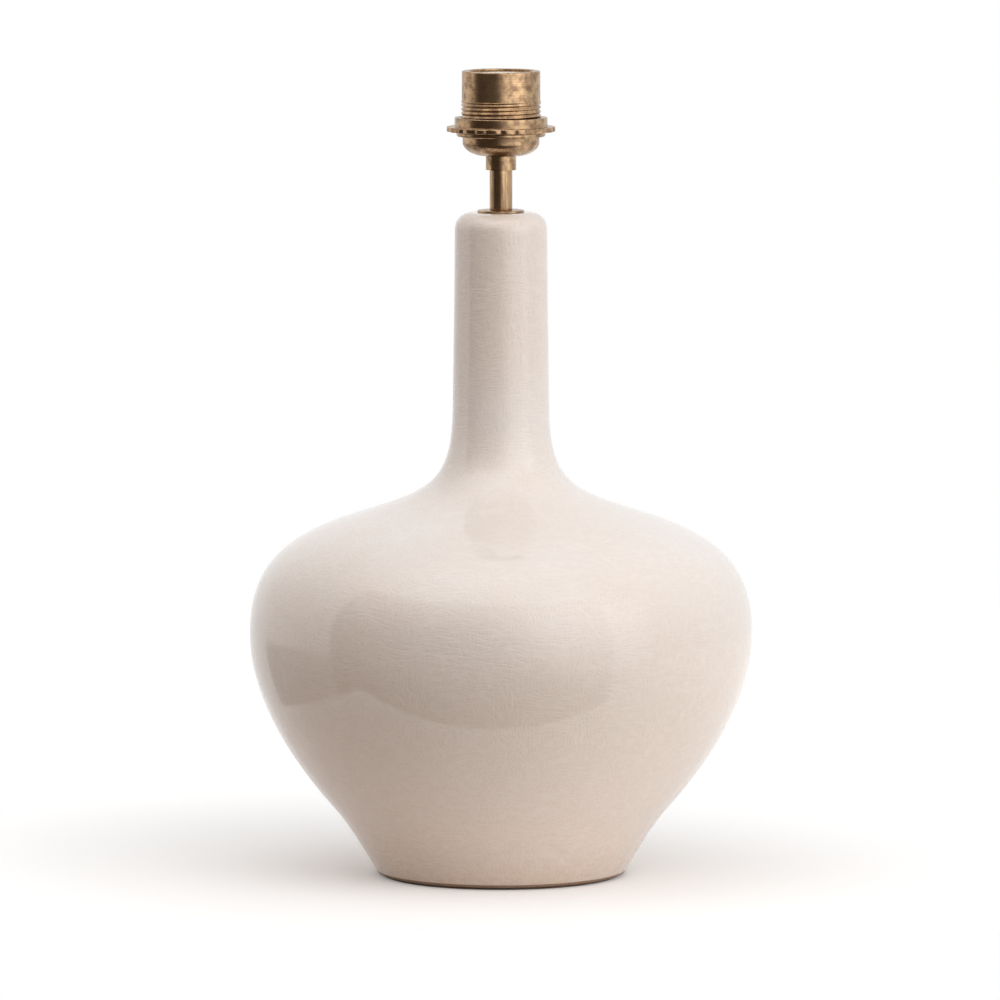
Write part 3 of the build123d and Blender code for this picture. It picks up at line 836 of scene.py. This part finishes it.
@dataclass
class GlazedVase:
    """Hollow slip-cast vase with a long neck, glazed outside."""

    foot_radius: float = 61.4 * MM
    foot_lean: float = 32.0
    foot_pull: float = 10.7 * MM
    foot_edge: float = 1.6 * MM
    foot_edge_steps: int = 8
    foot_join: float = 0.2 * MM
    hip: Pair = (82.2 * MM, 32.5 * MM)
    hip_lean: float = 40.8
    hip_pulls: Pair = (11.6 * MM, 15.8 * MM)
    belly_height: float = 120.7 * MM
    belly_pulls: Pair = (40.4 * MM, 34.8 * MM)
    shoulder: Pair = (72.8 * MM, 179.6 * MM)
    shoulder_slope: float = 17.8
    shoulder_pulls: Pair = (34.9 * MM, 40.1 * MM)
    neck_root: Pair = (24.1 * MM, 233.1 * MM)
    neck_pull: float = 37.8 * MM
    neck_top_radius: float = 22.8 * MM
    neck_edge: float = 8.5 * MM
    neck_edge_share: float = 0.98
    neck_edge_steps: int = 12
    neck_hole_radius: float = 6.0 * MM
    neck_hole_edge: float = 0.4 * MM
    wall: float = 6.0 * MM
    floor_thickness: float = 6.0 * MM
    ceiling_thickness: float = 7.0 * MM
    foot_ring_width: float = 19.0 * MM
    rebate_width: float = 6.0 * MM
    rebate_depth: float = 2.0 * MM
    rebate_edge: float = 0.3 * MM
    bare_height: float = 1.5 * MM
    cable_hole_radius: float = 4.8 * MM
    cable_seat_radius: float = 7.4 * MM
    cable_flange: float = 1.6 * MM
    cable_segments: int = 48
    segments: int = 240
    curve_steps: int = 56
    unevenness: float = 0.1 * MM
    ring_pitch: float = 23.0 * MM
    true_foot: float = 6.0 * MM
    true_neck: float = 12.0 * MM
    true_fade: float = 30.0 * MM
    neck_span: float = 4.0 * MM
    longest_span: float = 5.0 * MM

    def __post_init__(self) -> None:
        """Reads the vase's box from the frame."""
        low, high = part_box("ceramic_body")
        self.bottom = low.z
        self.top = high.z
        self.belly_radius = high.x

    def outer_wall(self) -> np.ndarray:
        """The outer wall from the foot up to the neck's rounded top edge.

        Returns:
            Points of the wall, radius and height in each row.
        """
        def leaning(angle: float) -> np.ndarray:
            """The upward direction that leans out by an angle."""
            return np.array((math.sin(math.radians(angle)), math.cos(math.radians(angle))))

        foot = np.array((self.foot_radius, self.bottom))
        hip, shoulder, root = np.array(self.hip), np.array(self.shoulder), np.array(self.neck_root)
        belly = np.array((self.belly_radius, self.belly_height))
        top = np.array((self.neck_top_radius, self.top))
        up, hip_way, over = leaning(0.0), leaning(self.hip_lean), leaning(self.shoulder_slope - 90.0)
        neck_way = (top - root) / np.linalg.norm(top - root)
        hip_below, hip_above = hip - hip_way * self.hip_pulls[0], hip + hip_way * self.hip_pulls[1]
        belly_below, belly_above = belly - up * self.belly_pulls[0], belly + up * self.belly_pulls[1]
        out, into = shoulder - over * self.shoulder_pulls[0], shoulder + over * self.shoulder_pulls[1]
        steps = self.curve_steps
        return np.vstack((
            bezier(foot, foot + leaning(self.foot_lean) * self.foot_pull, hip_below, hip, steps),
            bezier(hip, hip_above, belly_below, belly, steps),
            bezier(belly, belly_above, out, shoulder, steps),
            bezier(shoulder, into, root - neck_way * self.neck_pull, root, steps),
            subdivided(np.array((root, top - neck_way * self.neck_edge)), self.neck_span, closed=False),
        ))

    def outline(self) -> np.ndarray:
        """The vase's whole section, outside and inside.

        Returns:
            Points of the closed section.
        """
        outside = self.outer_wall()
        tangent = np.gradient(outside, axis=0)
        tangent /= np.linalg.norm(tangent, axis=1)[:, None]
        inside = outside + np.stack((-tangent[:, 1], tangent[:, 0]), axis=1) * self.wall
        floor, ceiling = self.bottom + self.floor_thickness, self.top - self.ceiling_thickness
        inside = inside[(inside[:, 1] > floor) & (inside[:, 1] < ceiling)][::-2]
        opening = self.foot_radius - self.foot_ring_width
        rebate = opening + self.rebate_width
        top_edge = rounded((
            (*outside[-1], 0.0),
            (self.neck_top_radius, self.top, self.neck_edge * self.neck_edge_share),
            (self.neck_hole_radius, self.top, self.neck_hole_edge),
            (self.neck_hole_radius, ceiling, 0.0),
        ), steps=self.neck_edge_steps)[1:]
        foot_edge = rounded((
            (rebate, self.bottom, self.rebate_edge),
            (self.foot_radius, self.bottom, self.foot_edge),
            (*outside[self.foot_edge_steps], 0.0),
        ), steps=self.foot_edge_steps)[:-1]
        underside = np.array((
            (inside[-1][0], floor),
            (opening, floor),
            (opening, self.bottom + self.rebate_depth),
            (rebate, self.bottom + self.rebate_depth),
        ))
        above_foot = outside[:, 1] > foot_edge[-1][1] + self.foot_join
        loop = np.vstack((outside[above_foot][:-1], top_edge, inside, underside, foot_edge))
        return subdivided(loop, self.longest_span)

    def uneven(self, radius: np.ndarray, height: np.ndarray, angles: np.ndarray) -> np.ndarray:
        """The wall with the slight unevenness of hand work, always inwards.

        Args:
            radius: Radius of each point.
            height: Height of each point.
            angles: Angle of each point around the axis.

        Returns:
            The uneven radius, true at the foot and at the neck's top.
        """
        slow = np.sin(2 * angles + 21.0 * height + 0.6) + np.sin(3 * angles - 34.0 * height + 2.1)
        rings = np.sin(math.tau * height / self.ring_pitch + np.sin(angles))
        free = np.clip((height - self.bottom - self.true_foot) / self.true_fade, 0.0, 1.0)
        free = free * np.clip((self.top - self.true_neck - height) / self.true_fade, 0.0, 1.0)
        return radius - self.unevenness * free * (1.2 + 0.2 * slow + 0.1 * rings)

    def cable_cutter(self) -> Piece:
        """A stepped rod for the cable hole and its seat, placed at the record's cable inlet.

        Returns:
            The rod, for cutting.
        """
        inlet = next(mount for mount in frame["record"]["mounts"] if mount["name"] == "cable_inlet")
        length = inlet["dims"]["length_mm"] * MM
        seat = length / 2 - self.cable_flange
        reach = length + self.wall
        rod = turned("cable_cutter", np.array((
            (0.0, -reach),
            (self.cable_hole_radius, -reach),
            (self.cable_hole_radius, seat),
            (self.cable_seat_radius, seat),
            (self.cable_seat_radius, reach),
            (0.0, reach),
        )), self.cable_segments)
        turn = Vector(inlet["axis"]).to_track_quat("Z", "Y").to_matrix().to_4x4()
        rod.data.transform(Matrix.Translation(inlet["pos_m"]) @ turn)
        bpy.context.view_layer.update()
        return rod

    def build(self) -> None:
        """Makes the vase, glazed outside and bare at the foot and inside."""
        vase = turned("glazed_vase", self.outline(), self.segments, self.uneven)
        cut_away(vase, self.cable_cutter())
        vase.data.materials.clear()
        glaze = CrackleGlaze().material()
        vase.data.materials.append(glaze)
        vase.data.materials.append(BareClay().material())
        glaze_line = self.bottom + self.bare_height
        for face in vase.data.polygons:
            distance = math.hypot(face.center.x, face.center.y)
            inward = face.normal.x * face.center.x + face.normal.y * face.center.y < -0.2 * distance
            face.material_index = int(face.center.z < glaze_line or inward)
        settle(vase, Body.BASE, "crackle_glaze", glaze, "ceramic_body")


@dataclass
class FootPad:
    """Felt pad and the hardboard disc above it."""

    edge: float = 0.45 * MM
    fray: float = 0.12 * MM
    longest_span: float = 3.0 * MM
    segments: int = 240

    def frayed(self, radius: np.ndarray, height: np.ndarray, angles: np.ndarray) -> np.ndarray:
        """The felt's rim with a slightly ragged cut."""
        ragged = np.sin(61 * angles + 900 * height) + np.sin(97 * angles + 1.3) + np.sin(23 * angles)
        return radius - self.fray * (ragged + 3.0) / 6.0 * (radius > 0.9 * self.radius)

    def build(self) -> None:
        """Makes the felt and dresses the board."""
        low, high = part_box("base_felt")
        self.radius = high.x
        rim = rounded((
            (0.0, low.z, 0.0),
            (self.radius, low.z, self.edge),
            (self.radius, high.z, self.edge),
            (0.0, high.z, 0.0),
        ))
        rim = subdivided(rim, self.longest_span, closed=False)
        felt = turned("felt_pad", rim, self.segments, self.frayed)
        settle(felt, Body.BASE, "felt", BrownFelt().material(), "base_felt")
        dress_nodes(Hardboard().material(), "base_board")


@dataclass
class NeckStem:
    """Brass plate and stem on the neck, and the clamp inside it."""

    bore: float = 5.1 * MM
    plate_edge: float = 0.4 * MM
    plate_lower_edge: float = 0.25 * MM
    plate_dish: float = 0.18 * MM
    dish_share: float = 0.62
    dish_edge: float = 1.5 * MM
    stem_edge: float = 0.3 * MM
    plate_span: float = 0.8 * MM
    stem_span: float = 2.0 * MM
    segments: int = 128

    def build_plate(self) -> None:
        """Makes the plate, with a rolled rim and a slightly dished top."""
        low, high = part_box("neck_plate")
        rim = high.x
        outline = rounded((
            (self.bore, low.z, 0.0),
            (rim, low.z, self.plate_lower_edge),
            (rim, high.z - self.plate_dish, self.plate_edge),
            (self.dish_share * rim, high.z, self.dish_edge),
            (self.bore, high.z, 0.0),
        ))
        plate = turned("stem_plate", subdivided(outline, self.plate_span), self.segments)
        settle(plate, Body.BASE, "antique_brass", AgedBrass(Grain.TURNED).material(), "neck_plate")

    def build_stem(self) -> None:
        """Makes the stem, with its cut ends eased."""
        low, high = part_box("stem_tube")
        outline = rounded((
            (self.bore, low.z, 0.0),
            (high.x, low.z, self.stem_edge),
            (high.x, high.z, self.stem_edge),
            (self.bore, high.z, 0.0),
        ))
        stem = turned("brass_stem", subdivided(outline, self.stem_span), self.segments)
        settle(stem, Body.BASE, "antique_brass", AgedBrass(Grain.DRAWN).material(), "stem_tube")

    def build(self) -> None:
        """Makes the brass pieces and dresses the clamp."""
        self.build_plate()
        self.build_stem()
        rubber = DarkRubber().material()
        dress_nodes(rubber, "neck_cushion", "cable_grommet")
        dress_nodes(ZincPlate().material(), "threaded_nipple", "clamp_washer", "lock_washer", "clamp_nut")


@dataclass
class Lampholder:
    """Three-piece screw lampholder with porcelain insulators."""

    skirt_bore: float = 18.3 * MM
    thread_radius: float = 19.75 * MM
    nose_radius: float = 19.4 * MM
    lip_radius: float = 16.0 * MM
    lip_thickness: float = 1.5 * MM
    lip_edge: float = 0.4 * MM
    lip_lower_edge: float = 0.3 * MM
    nose_edge: float = 0.6 * MM
    flange_thickness: float = 2.5 * MM
    thread_length: float = 15.0 * MM
    skirt_pitch: float = 2.0 * MM
    skirt_depth: float = 0.6 * MM
    skirt_run_out: float = 1.2 * MM
    thread_start: float = 0.4 * MM
    thread_stop: float = 0.2 * MM
    shell_wall: float = 0.4 * MM
    shell_hole: float = 8.5 * MM
    shell_corner: float = 1.2 * MM
    shell_pitch: float = 3.629 * MM
    shell_depth: float = 1.05 * MM
    shell_run_out: float = 2.4 * MM
    sleeve_bore: float = 13.9 * MM
    sleeve_edge: float = 0.5 * MM
    sleeve_lower_edge: float = 0.3 * MM
    sleeve_span: float = 1.5 * MM
    flange_edge: float = 0.8 * MM
    thread_edge: float = 0.15 * MM
    steps_per_pitch: int = 14
    segments: int = 192

    def build_skirt(self, brass: Material) -> None:
        """Makes the skirt with its screw thread.

        Args:
            brass: Its material.
        """
        low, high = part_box("holder_skirt")
        flange_top = low.z + self.flange_thickness
        thread = Thread(self.skirt_pitch, self.skirt_depth, flange_top + self.thread_start,
                        flange_top + self.thread_length - self.thread_stop, self.skirt_run_out)
        outline = rounded((
            (self.skirt_bore, low.z, 0.0),
            (high.x, low.z, self.flange_edge),
            (high.x, flange_top, self.flange_edge),
            (self.thread_radius, flange_top, self.thread_edge),
            (self.thread_radius, flange_top + self.thread_length, self.thread_edge),
            (self.nose_radius, flange_top + self.thread_length, self.thread_edge),
            (self.nose_radius, high.z, self.nose_edge),
            (self.lip_radius, high.z, self.lip_edge),
            (self.lip_radius, high.z - self.lip_thickness, self.lip_lower_edge),
            (self.skirt_bore, high.z - self.lip_thickness, 0.0),
        ))
        rows = np.flatnonzero(np.isclose(outline[:, 0], self.thread_radius))
        wall = subdivided(outline[rows], self.skirt_pitch / self.steps_per_pitch, closed=False)
        outline = np.vstack((outline[:rows[0]], wall, outline[rows[-1] + 1:]))

        def threaded(radius: np.ndarray, height: np.ndarray, angles: np.ndarray) -> np.ndarray:
            """The thread on the outer wall."""
            return radius - thread.relief(height, angles) * np.isclose(radius, self.thread_radius)

        skirt = turned("threaded_skirt", outline, self.segments, threaded)
        settle(skirt, Body.BASE, "antique_brass", brass, "holder_skirt")

    def build_shell(self) -> None:
        """Makes the screw shell with its rolled thread."""
        low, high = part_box("contact_shell")
        outer = high.x
        inner = outer - self.shell_wall
        rim_top = low.z + self.shell_wall
        thread = Thread(self.shell_pitch, self.shell_depth, rim_top + self.shell_corner, high.z,
                        self.shell_run_out)
        outline = rounded((
            (self.shell_hole, low.z, 0.0),
            (outer, low.z, self.shell_corner + self.shell_wall),
            (outer, high.z, self.thread_edge),
            (inner, high.z, self.thread_edge),
            (inner, rim_top, self.shell_corner),
            (self.shell_hole, rim_top, 0.0),
        ))

        def threaded(radius: np.ndarray, height: np.ndarray, angles: np.ndarray) -> np.ndarray:
            """The rolled thread on both sides of the wall."""
            return radius - thread.relief(height, angles) * (radius > inner - 0.1 * MM)

        outline = subdivided(outline, self.shell_pitch / self.steps_per_pitch)
        shell = turned("screw_shell", outline, self.segments, threaded)
        settle(shell, Body.BASE, "contact_brass", BrightBrass().material(), "contact_shell")

    def build_sleeve(self, porcelain: Material) -> None:
        """Makes the insulating sleeve with its edges eased.

        Args:
            porcelain: Its material.
        """
        low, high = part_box("insulating_sleeve")
        outline = rounded((
            (self.sleeve_bore, low.z, 0.0),
            (high.x, low.z, self.sleeve_lower_edge),
            (high.x, high.z, self.sleeve_edge),
            (self.sleeve_bore, high.z, self.sleeve_edge),
        ))
        sleeve = turned("porcelain_sleeve", subdivided(outline, self.sleeve_span), self.segments)
        settle(sleeve, Body.BASE, "porcelain", porcelain, "insulating_sleeve")

    def build(self) -> None:
        """Makes the threaded pieces and dresses the rest."""
        brass = AgedBrass(Grain.TURNED).material()
        porcelain = WhitePorcelain().material()
        bright = BrightBrass().material()
        self.build_skirt(brass)
        self.build_shell()
        self.build_sleeve(porcelain)
        dress_nodes(brass, "holder_cap")
        dress_nodes(porcelain, "holder_insert")
        dress_nodes(bright, "earth_tag", "shell_rivets", "live_terminal", "neutral_terminal")
        zinc = ZincPlate().material()
        dress_nodes(zinc, "cap_grub_screw", "earth_screw", "live_strip_screw", "terminal_screws")


@dataclass
class ShadeRing:
    """Ring that screws on the skirt, with a fluted flange."""

    bore: float = 20.1 * MM
    hub_radius: float = 23.0 * MM
    flange_thickness: float = 2.4 * MM
    edge: float = 0.5 * MM
    bore_edges: Pair = (0.2 * MM, 0.3 * MM)
    hub_edge: float = 0.3 * MM
    flutes: int = 24
    flute_depth: float = 0.65 * MM
    pitch: float = 2.0 * MM
    thread_depth: float = 0.25 * MM
    thread_margin: float = 0.3 * MM
    thread_run_out: float = 0.8 * MM
    steps_per_pitch: int = 12
    segments: int = 384

    def build(self) -> None:
        """Makes the ring with its flutes and its inner thread."""
        low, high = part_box("shade_ring")
        rim = high.x
        flange_top = low.z + self.flange_thickness
        thread = Thread(self.pitch, self.thread_depth, low.z + self.thread_margin,
                        high.z - self.thread_margin, self.thread_run_out)
        outline = rounded((
            (self.bore, low.z, self.bore_edges[0]),
            (rim, low.z, self.edge),
            (rim, flange_top, self.edge),
            (self.hub_radius, flange_top, self.hub_edge),
            (self.hub_radius, high.z, self.edge),
            (self.bore, high.z, self.bore_edges[1]),
        ))

        def shaped(radius: np.ndarray, height: np.ndarray, angles: np.ndarray) -> np.ndarray:
            """Flutes on the flange and a thread in the bore.

            Args:
                radius: Radius of each point.
                height: Height of each point.
                angles: Angle of each point around the axis.

            Returns:
                The shaped radius.
            """
            scallop = (0.5 + 0.5 * np.cos(self.flutes * angles)) ** 2
            flange = np.clip((radius - self.hub_radius) / (rim - self.hub_radius), 0.0, 1.0) ** 4
            crest = thread.relief(height, angles) * (radius < self.bore + 0.05 * MM)
            return radius - self.flute_depth * scallop * flange - crest

        outline = subdivided(outline, self.pitch / self.steps_per_pitch)
        ring = turned("fluted_ring", outline, self.segments, shaped)
        settle(ring, Body.RING, "antique_brass", AgedBrass(Grain.TURNED).material(), "shade_ring")


@dataclass
class SprungContact:
    """Centre contact and the coil spring under it."""

    wire_radius: float = 0.2 * MM
    turns: float = 3.5
    steps_per_turn: int = 40
    sides: int = 12
    pressed_share: float = 0.425

    def build(self) -> None:
        """Makes the spring and dresses the contact."""
        low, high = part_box("contact_spring")
        reach = high.x - self.wire_radius
        share = np.linspace(0.0, 1.0, round(self.turns * self.steps_per_turn) + 1)
        angles = math.tau * self.turns * share
        height = low.z + self.wire_radius + (high.z - low.z - 2 * self.wire_radius) * share
        route = np.stack((reach * np.cos(angles), reach * np.sin(angles), height), axis=1)
        spring = wire_along("coil_spring", route, self.wire_radius, self.sides)
        settle(spring, Body.BASE, "plated_steel", ZincPlate().material(), "contact_spring")
        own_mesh(spring)
        dress_nodes(BrightBrass().material(), "centre_contact")


# Studio

@dataclass(frozen=True)
class Umbrella:
    """A large bowl of glowing gauze around one direction, which fades evenly towards its rim."""

    name: str
    azimuth: float
    elevation: float
    rim: float
    radiance: float
    colour: Colour
    core: float = 6.0
    radius: float = 2.2
    centre: Place = (0.0, 0.0, 0.15)
    rows: int = 16
    segments: int = 64

    def glow(self) -> Material:
        """The bowl's light, strongest in the middle.

        Returns:
            The gauze's material.
        """
        sheet = NodeSheet(self.name)
        _, depth = sheet.axis_parts(sheet.place)
        slant = sheet.math("ARCCOSINE", sheet.math("DIVIDE", depth, self.radius))
        edges = (math.radians(self.core), math.radians(self.rim))
        level = sheet.span(slant, edges, (self.radiance, 0.0))
        light = sheet.add("Emission", {"Color": (*self.colour, 1.0), "Strength": level})
        gauze = sheet.add("AddShader", {0: light.outputs[0], 1: sheet.add("BsdfTransparent").outputs[0]})
        sheet.tree.links.new(gauze.outputs[0], sheet.output.inputs["Surface"])
        return sheet.material

    def build(self) -> None:
        """Hangs the bowl in the studio, out of the camera's sight."""
        slants = np.radians(np.linspace(0.0, self.rim, self.rows))
        outline = np.stack((np.sin(slants), np.cos(slants)), axis=1) * self.radius
        bowl = turned(self.name, outline, self.segments)
        bowl.data.materials.append(self.glow())
        azimuth, elevation = math.radians(self.azimuth), math.radians(self.elevation)
        flat = math.cos(elevation)
        way = Vector((flat * math.sin(azimuth), -flat * math.cos(azimuth), math.sin(elevation)))
        turn = way.to_track_quat("Z", "Y").to_matrix().to_4x4()
        bowl.matrix_world = Matrix.Translation(self.centre) @ turn
        bowl.visible_camera = False


@dataclass(frozen=True)
class DimRoom:
    """A stretch of the dim room around the table: a wall and the dark floor in front of it."""

    name: str
    azimuths: Pair
    wall_radiance: float
    top_radiance: float
    wall_top: float
    colour: Colour
    floor_radiance: float = 0.08
    radius: float = 6.6
    floor_level: float = -0.75
    fade_from: float = 2.0
    floor_fade: Pair = (10.0 * MM, 300.0 * MM)
    spans: int = 24

    def finish(self) -> Material:
        """The room's dim glow, which changes with height.

        Returns:
            The room's material.
        """
        sheet = NodeSheet(self.name)
        _, height = sheet.axis_parts(sheet.place)
        foot = (self.floor_level + self.floor_fade[0], self.floor_level + self.floor_fade[1])
        level = sheet.span(height, foot, (self.floor_radiance, self.wall_radiance))
        rise = self.top_radiance - self.wall_radiance
        level = sheet.math("ADD", level, sheet.span(height, (self.fade_from, self.wall_top), (0.0, rise)))
        light = sheet.add("Emission", {"Color": (*self.colour, 1.0), "Strength": level})
        sheet.tree.links.new(light.outputs[0], sheet.output.inputs["Surface"])
        return sheet.material

    def build(self) -> None:
        """Puts up the wall and its floor, out of the camera's sight."""
        spans = self.spans
        angles = np.radians(np.linspace(*self.azimuths, spans + 1))
        rim = np.stack((np.sin(angles), -np.cos(angles)), axis=1) * self.radius
        middle = np.array(((0.0, 0.0, self.floor_level),))
        foot = np.column_stack((rim, np.full(spans + 1, self.floor_level)))
        head = np.column_stack((rim, np.full(spans + 1, self.wall_top)))
        faces = []
        for step in range(1, spans + 1):
            faces.append((0, step, step + 1))
            faces.append((step, step + spans + 1, step + spans + 2, step + 1))
        room = mesh_object(self.name, np.vstack((middle, foot, head)), faces)
        room.data.materials.append(self.finish())
        room.visible_camera = False


@dataclass
class Studio:
    """White table, white surroundings, soft lights and the camera."""

    table_left: float = -0.27
    table_right: float = 1.3
    table_front: float = -0.19
    table_back: float = 1.2
    table_turn: float = -3.0
    table_white: Colour = (0.90, 0.90, 0.90)
    # Painted shade on the table's left side, seen only by the light that bounces off it; the camera and
    # reflections see white.
    table_painted_shade: Colour = (0.45, 0.35, 0.28)
    table_shading: Pair = (-0.25, 0.10)
    table_lift: Pair = (0.15, 0.35)
    lift_reach: Pair = (0.12, 0.50)
    foot_hole: float = 57.0 * MM
    tooth_size: float = 0.8 * MM
    tooth_tone: Pair = (0.96, 1.0)
    surround: float = 0.62
    camera_place: Place = (0.0, -5.0, 0.706)
    camera_aim: Place = (-0.0005, 0.0, 0.1868)
    lens: float = 364.8
    sight: float = 60.0
    lights: tuple[Umbrella, ...] = field(default_factory=lambda: (
        Umbrella("key_light", 36.0, 20.0, 50.0, 2.12, (1.0, 1.0, 1.0)),
        Umbrella("top_light", -35.0, 62.0, 54.0, 1.0, (1.0, 1.0, 1.0)),
    ))
    rooms: tuple[DimRoom, ...] = field(default_factory=lambda: (
        DimRoom("front_room", (-84.0, 52.0), 0.08, 0.5, 7.0, (1.0, 0.76, 0.58)),
        DimRoom("left_room", (-136.0, -84.0), 1.05, 1.05, 3.4, (1.0, 0.97, 0.95), floor_radiance=0.5),
    ))

    def table_finish(self) -> Material:
        """White paper with the lamp's shadow, whiter away from it, with painted shade towards its left for
        the light that bounces off it, and clear under the foot and from below.

        Returns:
            The table's material.
        """
        sheet = NodeSheet("white_table")
        tooth = sheet.cloud(self.tooth_size, 2.0)
        # Painted shade: darker and warmer towards the left for bounced light, white for camera, glossy and
        # transmission rays.
        across = sheet.add("SeparateXYZ", {0: sheet.place}).outputs["X"]
        side = sheet.span(across, self.table_shading, (0.0, 1.0))
        path = sheet.add("LightPath").outputs
        seen = sheet.math("MAXIMUM", path["Is Camera Ray"], path["Is Glossy Ray"])
        seen = sheet.math("MAXIMUM", seen, path["Is Transmission Ray"])
        grain = sheet.span(tooth, (0.0, 1.0), self.tooth_tone)
        pale = sheet.math("MULTIPLY", sheet.math("MAXIMUM", side, seen), grain)
        paper = sheet.add("BsdfDiffuse", {"Color": sheet.blend(pale, self.table_painted_shade, self.table_white)})
        away, _ = sheet.axis_parts(sheet.place)
        lift = sheet.math("MULTIPLY", seen, sheet.span(away, self.lift_reach, self.table_lift))
        glow = sheet.add("Emission", {"Strength": lift})
        top = sheet.add("AddShader", {0: paper.outputs[0], 1: glow.outputs[0]})
        below = sheet.add("NewGeometry").outputs["Backfacing"]
        open_share = sheet.math("MAXIMUM", below, sheet.math("LESS_THAN", away, self.foot_hole))
        clear = sheet.add("BsdfTransparent")
        faced = sheet.add("MixShader", {0: open_share, 1: top.outputs[0], 2: clear.outputs[0]})
        sheet.tree.links.new(faced.outputs[0], sheet.output.inputs["Surface"])
        return sheet.material

    def build_table(self) -> None:
        """Lays the table under the lamp."""
        corners = np.array((
            (self.table_left, self.table_front, 0.0),
            (self.table_right, self.table_front, 0.0),
            (self.table_right, self.table_back, 0.0),
            (self.table_left, self.table_back, 0.0),
        ))
        turn = math.radians(self.table_turn)
        spin = np.array(((math.cos(turn), -math.sin(turn)), (math.sin(turn), math.cos(turn))))
        corners[:, :2] = corners[:, :2] @ spin.T
        table = mesh_object("table", corners, [(0, 1, 2, 3)])
        if table.data.polygons[0].normal.z < 0:
            table.data.flip_normals()
        table.data.materials.append(self.table_finish())

    def build_surround(self) -> None:
        """White surroundings for the camera and for reflections, and a plain fill light."""
        world = bpy.data.worlds.new("surround")
        world.use_nodes = True
        tree = world.node_tree
        path = tree.nodes.new("ShaderNodeLightPath")
        seen = path.outputs["Is Camera Ray"]
        for ray in ("Is Glossy Ray", "Is Transmission Ray"):
            either = tree.nodes.new("ShaderNodeMath")
            either.operation = "MAXIMUM"
            tree.links.new(seen, either.inputs[0])
            tree.links.new(path.outputs[ray], either.inputs[1])
            seen = either.outputs[0]
        level = tree.nodes.new("ShaderNodeMapRange")
        level.inputs["To Min"].default_value = self.surround
        tree.links.new(seen, level.inputs["Value"])
        white = tree.nodes["Background"]
        white.inputs["Color"].default_value = (1.0, 1.0, 1.0, 1.0)
        tree.links.new(level.outputs["Result"], white.inputs["Strength"])
        bpy.context.scene.world = world

    def build_camera(self) -> None:
        """Sets the camera at the photograph's viewing angle."""
        lens = bpy.data.cameras.new("camera")
        lens.lens = self.lens
        lens.clip_end = self.sight
        camera = bpy.data.objects.new("camera", lens)
        bpy.context.scene.collection.objects.link(camera)
        camera.location = self.camera_place
        way = Vector(self.camera_aim) - Vector(self.camera_place)
        camera.rotation_euler = way.to_track_quat("-Z", "Y").to_euler()
        bpy.context.scene.camera = camera

    def build(self) -> None:
        """Sets the table, the lights, the surroundings and the camera."""
        self.build_table()
        self.build_surround()
        for part in (*self.lights, *self.rooms):
            part.build()
        self.build_camera()
        bpy.context.scene.view_settings.view_transform = "Standard"


def main() -> None:
    """Builds and dresses the lamp base and its studio."""
    logging.basicConfig(level=logging.INFO, format="%(name)s: %(message)s")
    GlazedVase().build()
    FootPad().build()
    NeckStem().build()
    Lampholder().build()
    ShadeRing().build()
    SprungContact().build()
    Studio().build()


if __name__ == "__main__":
    main()
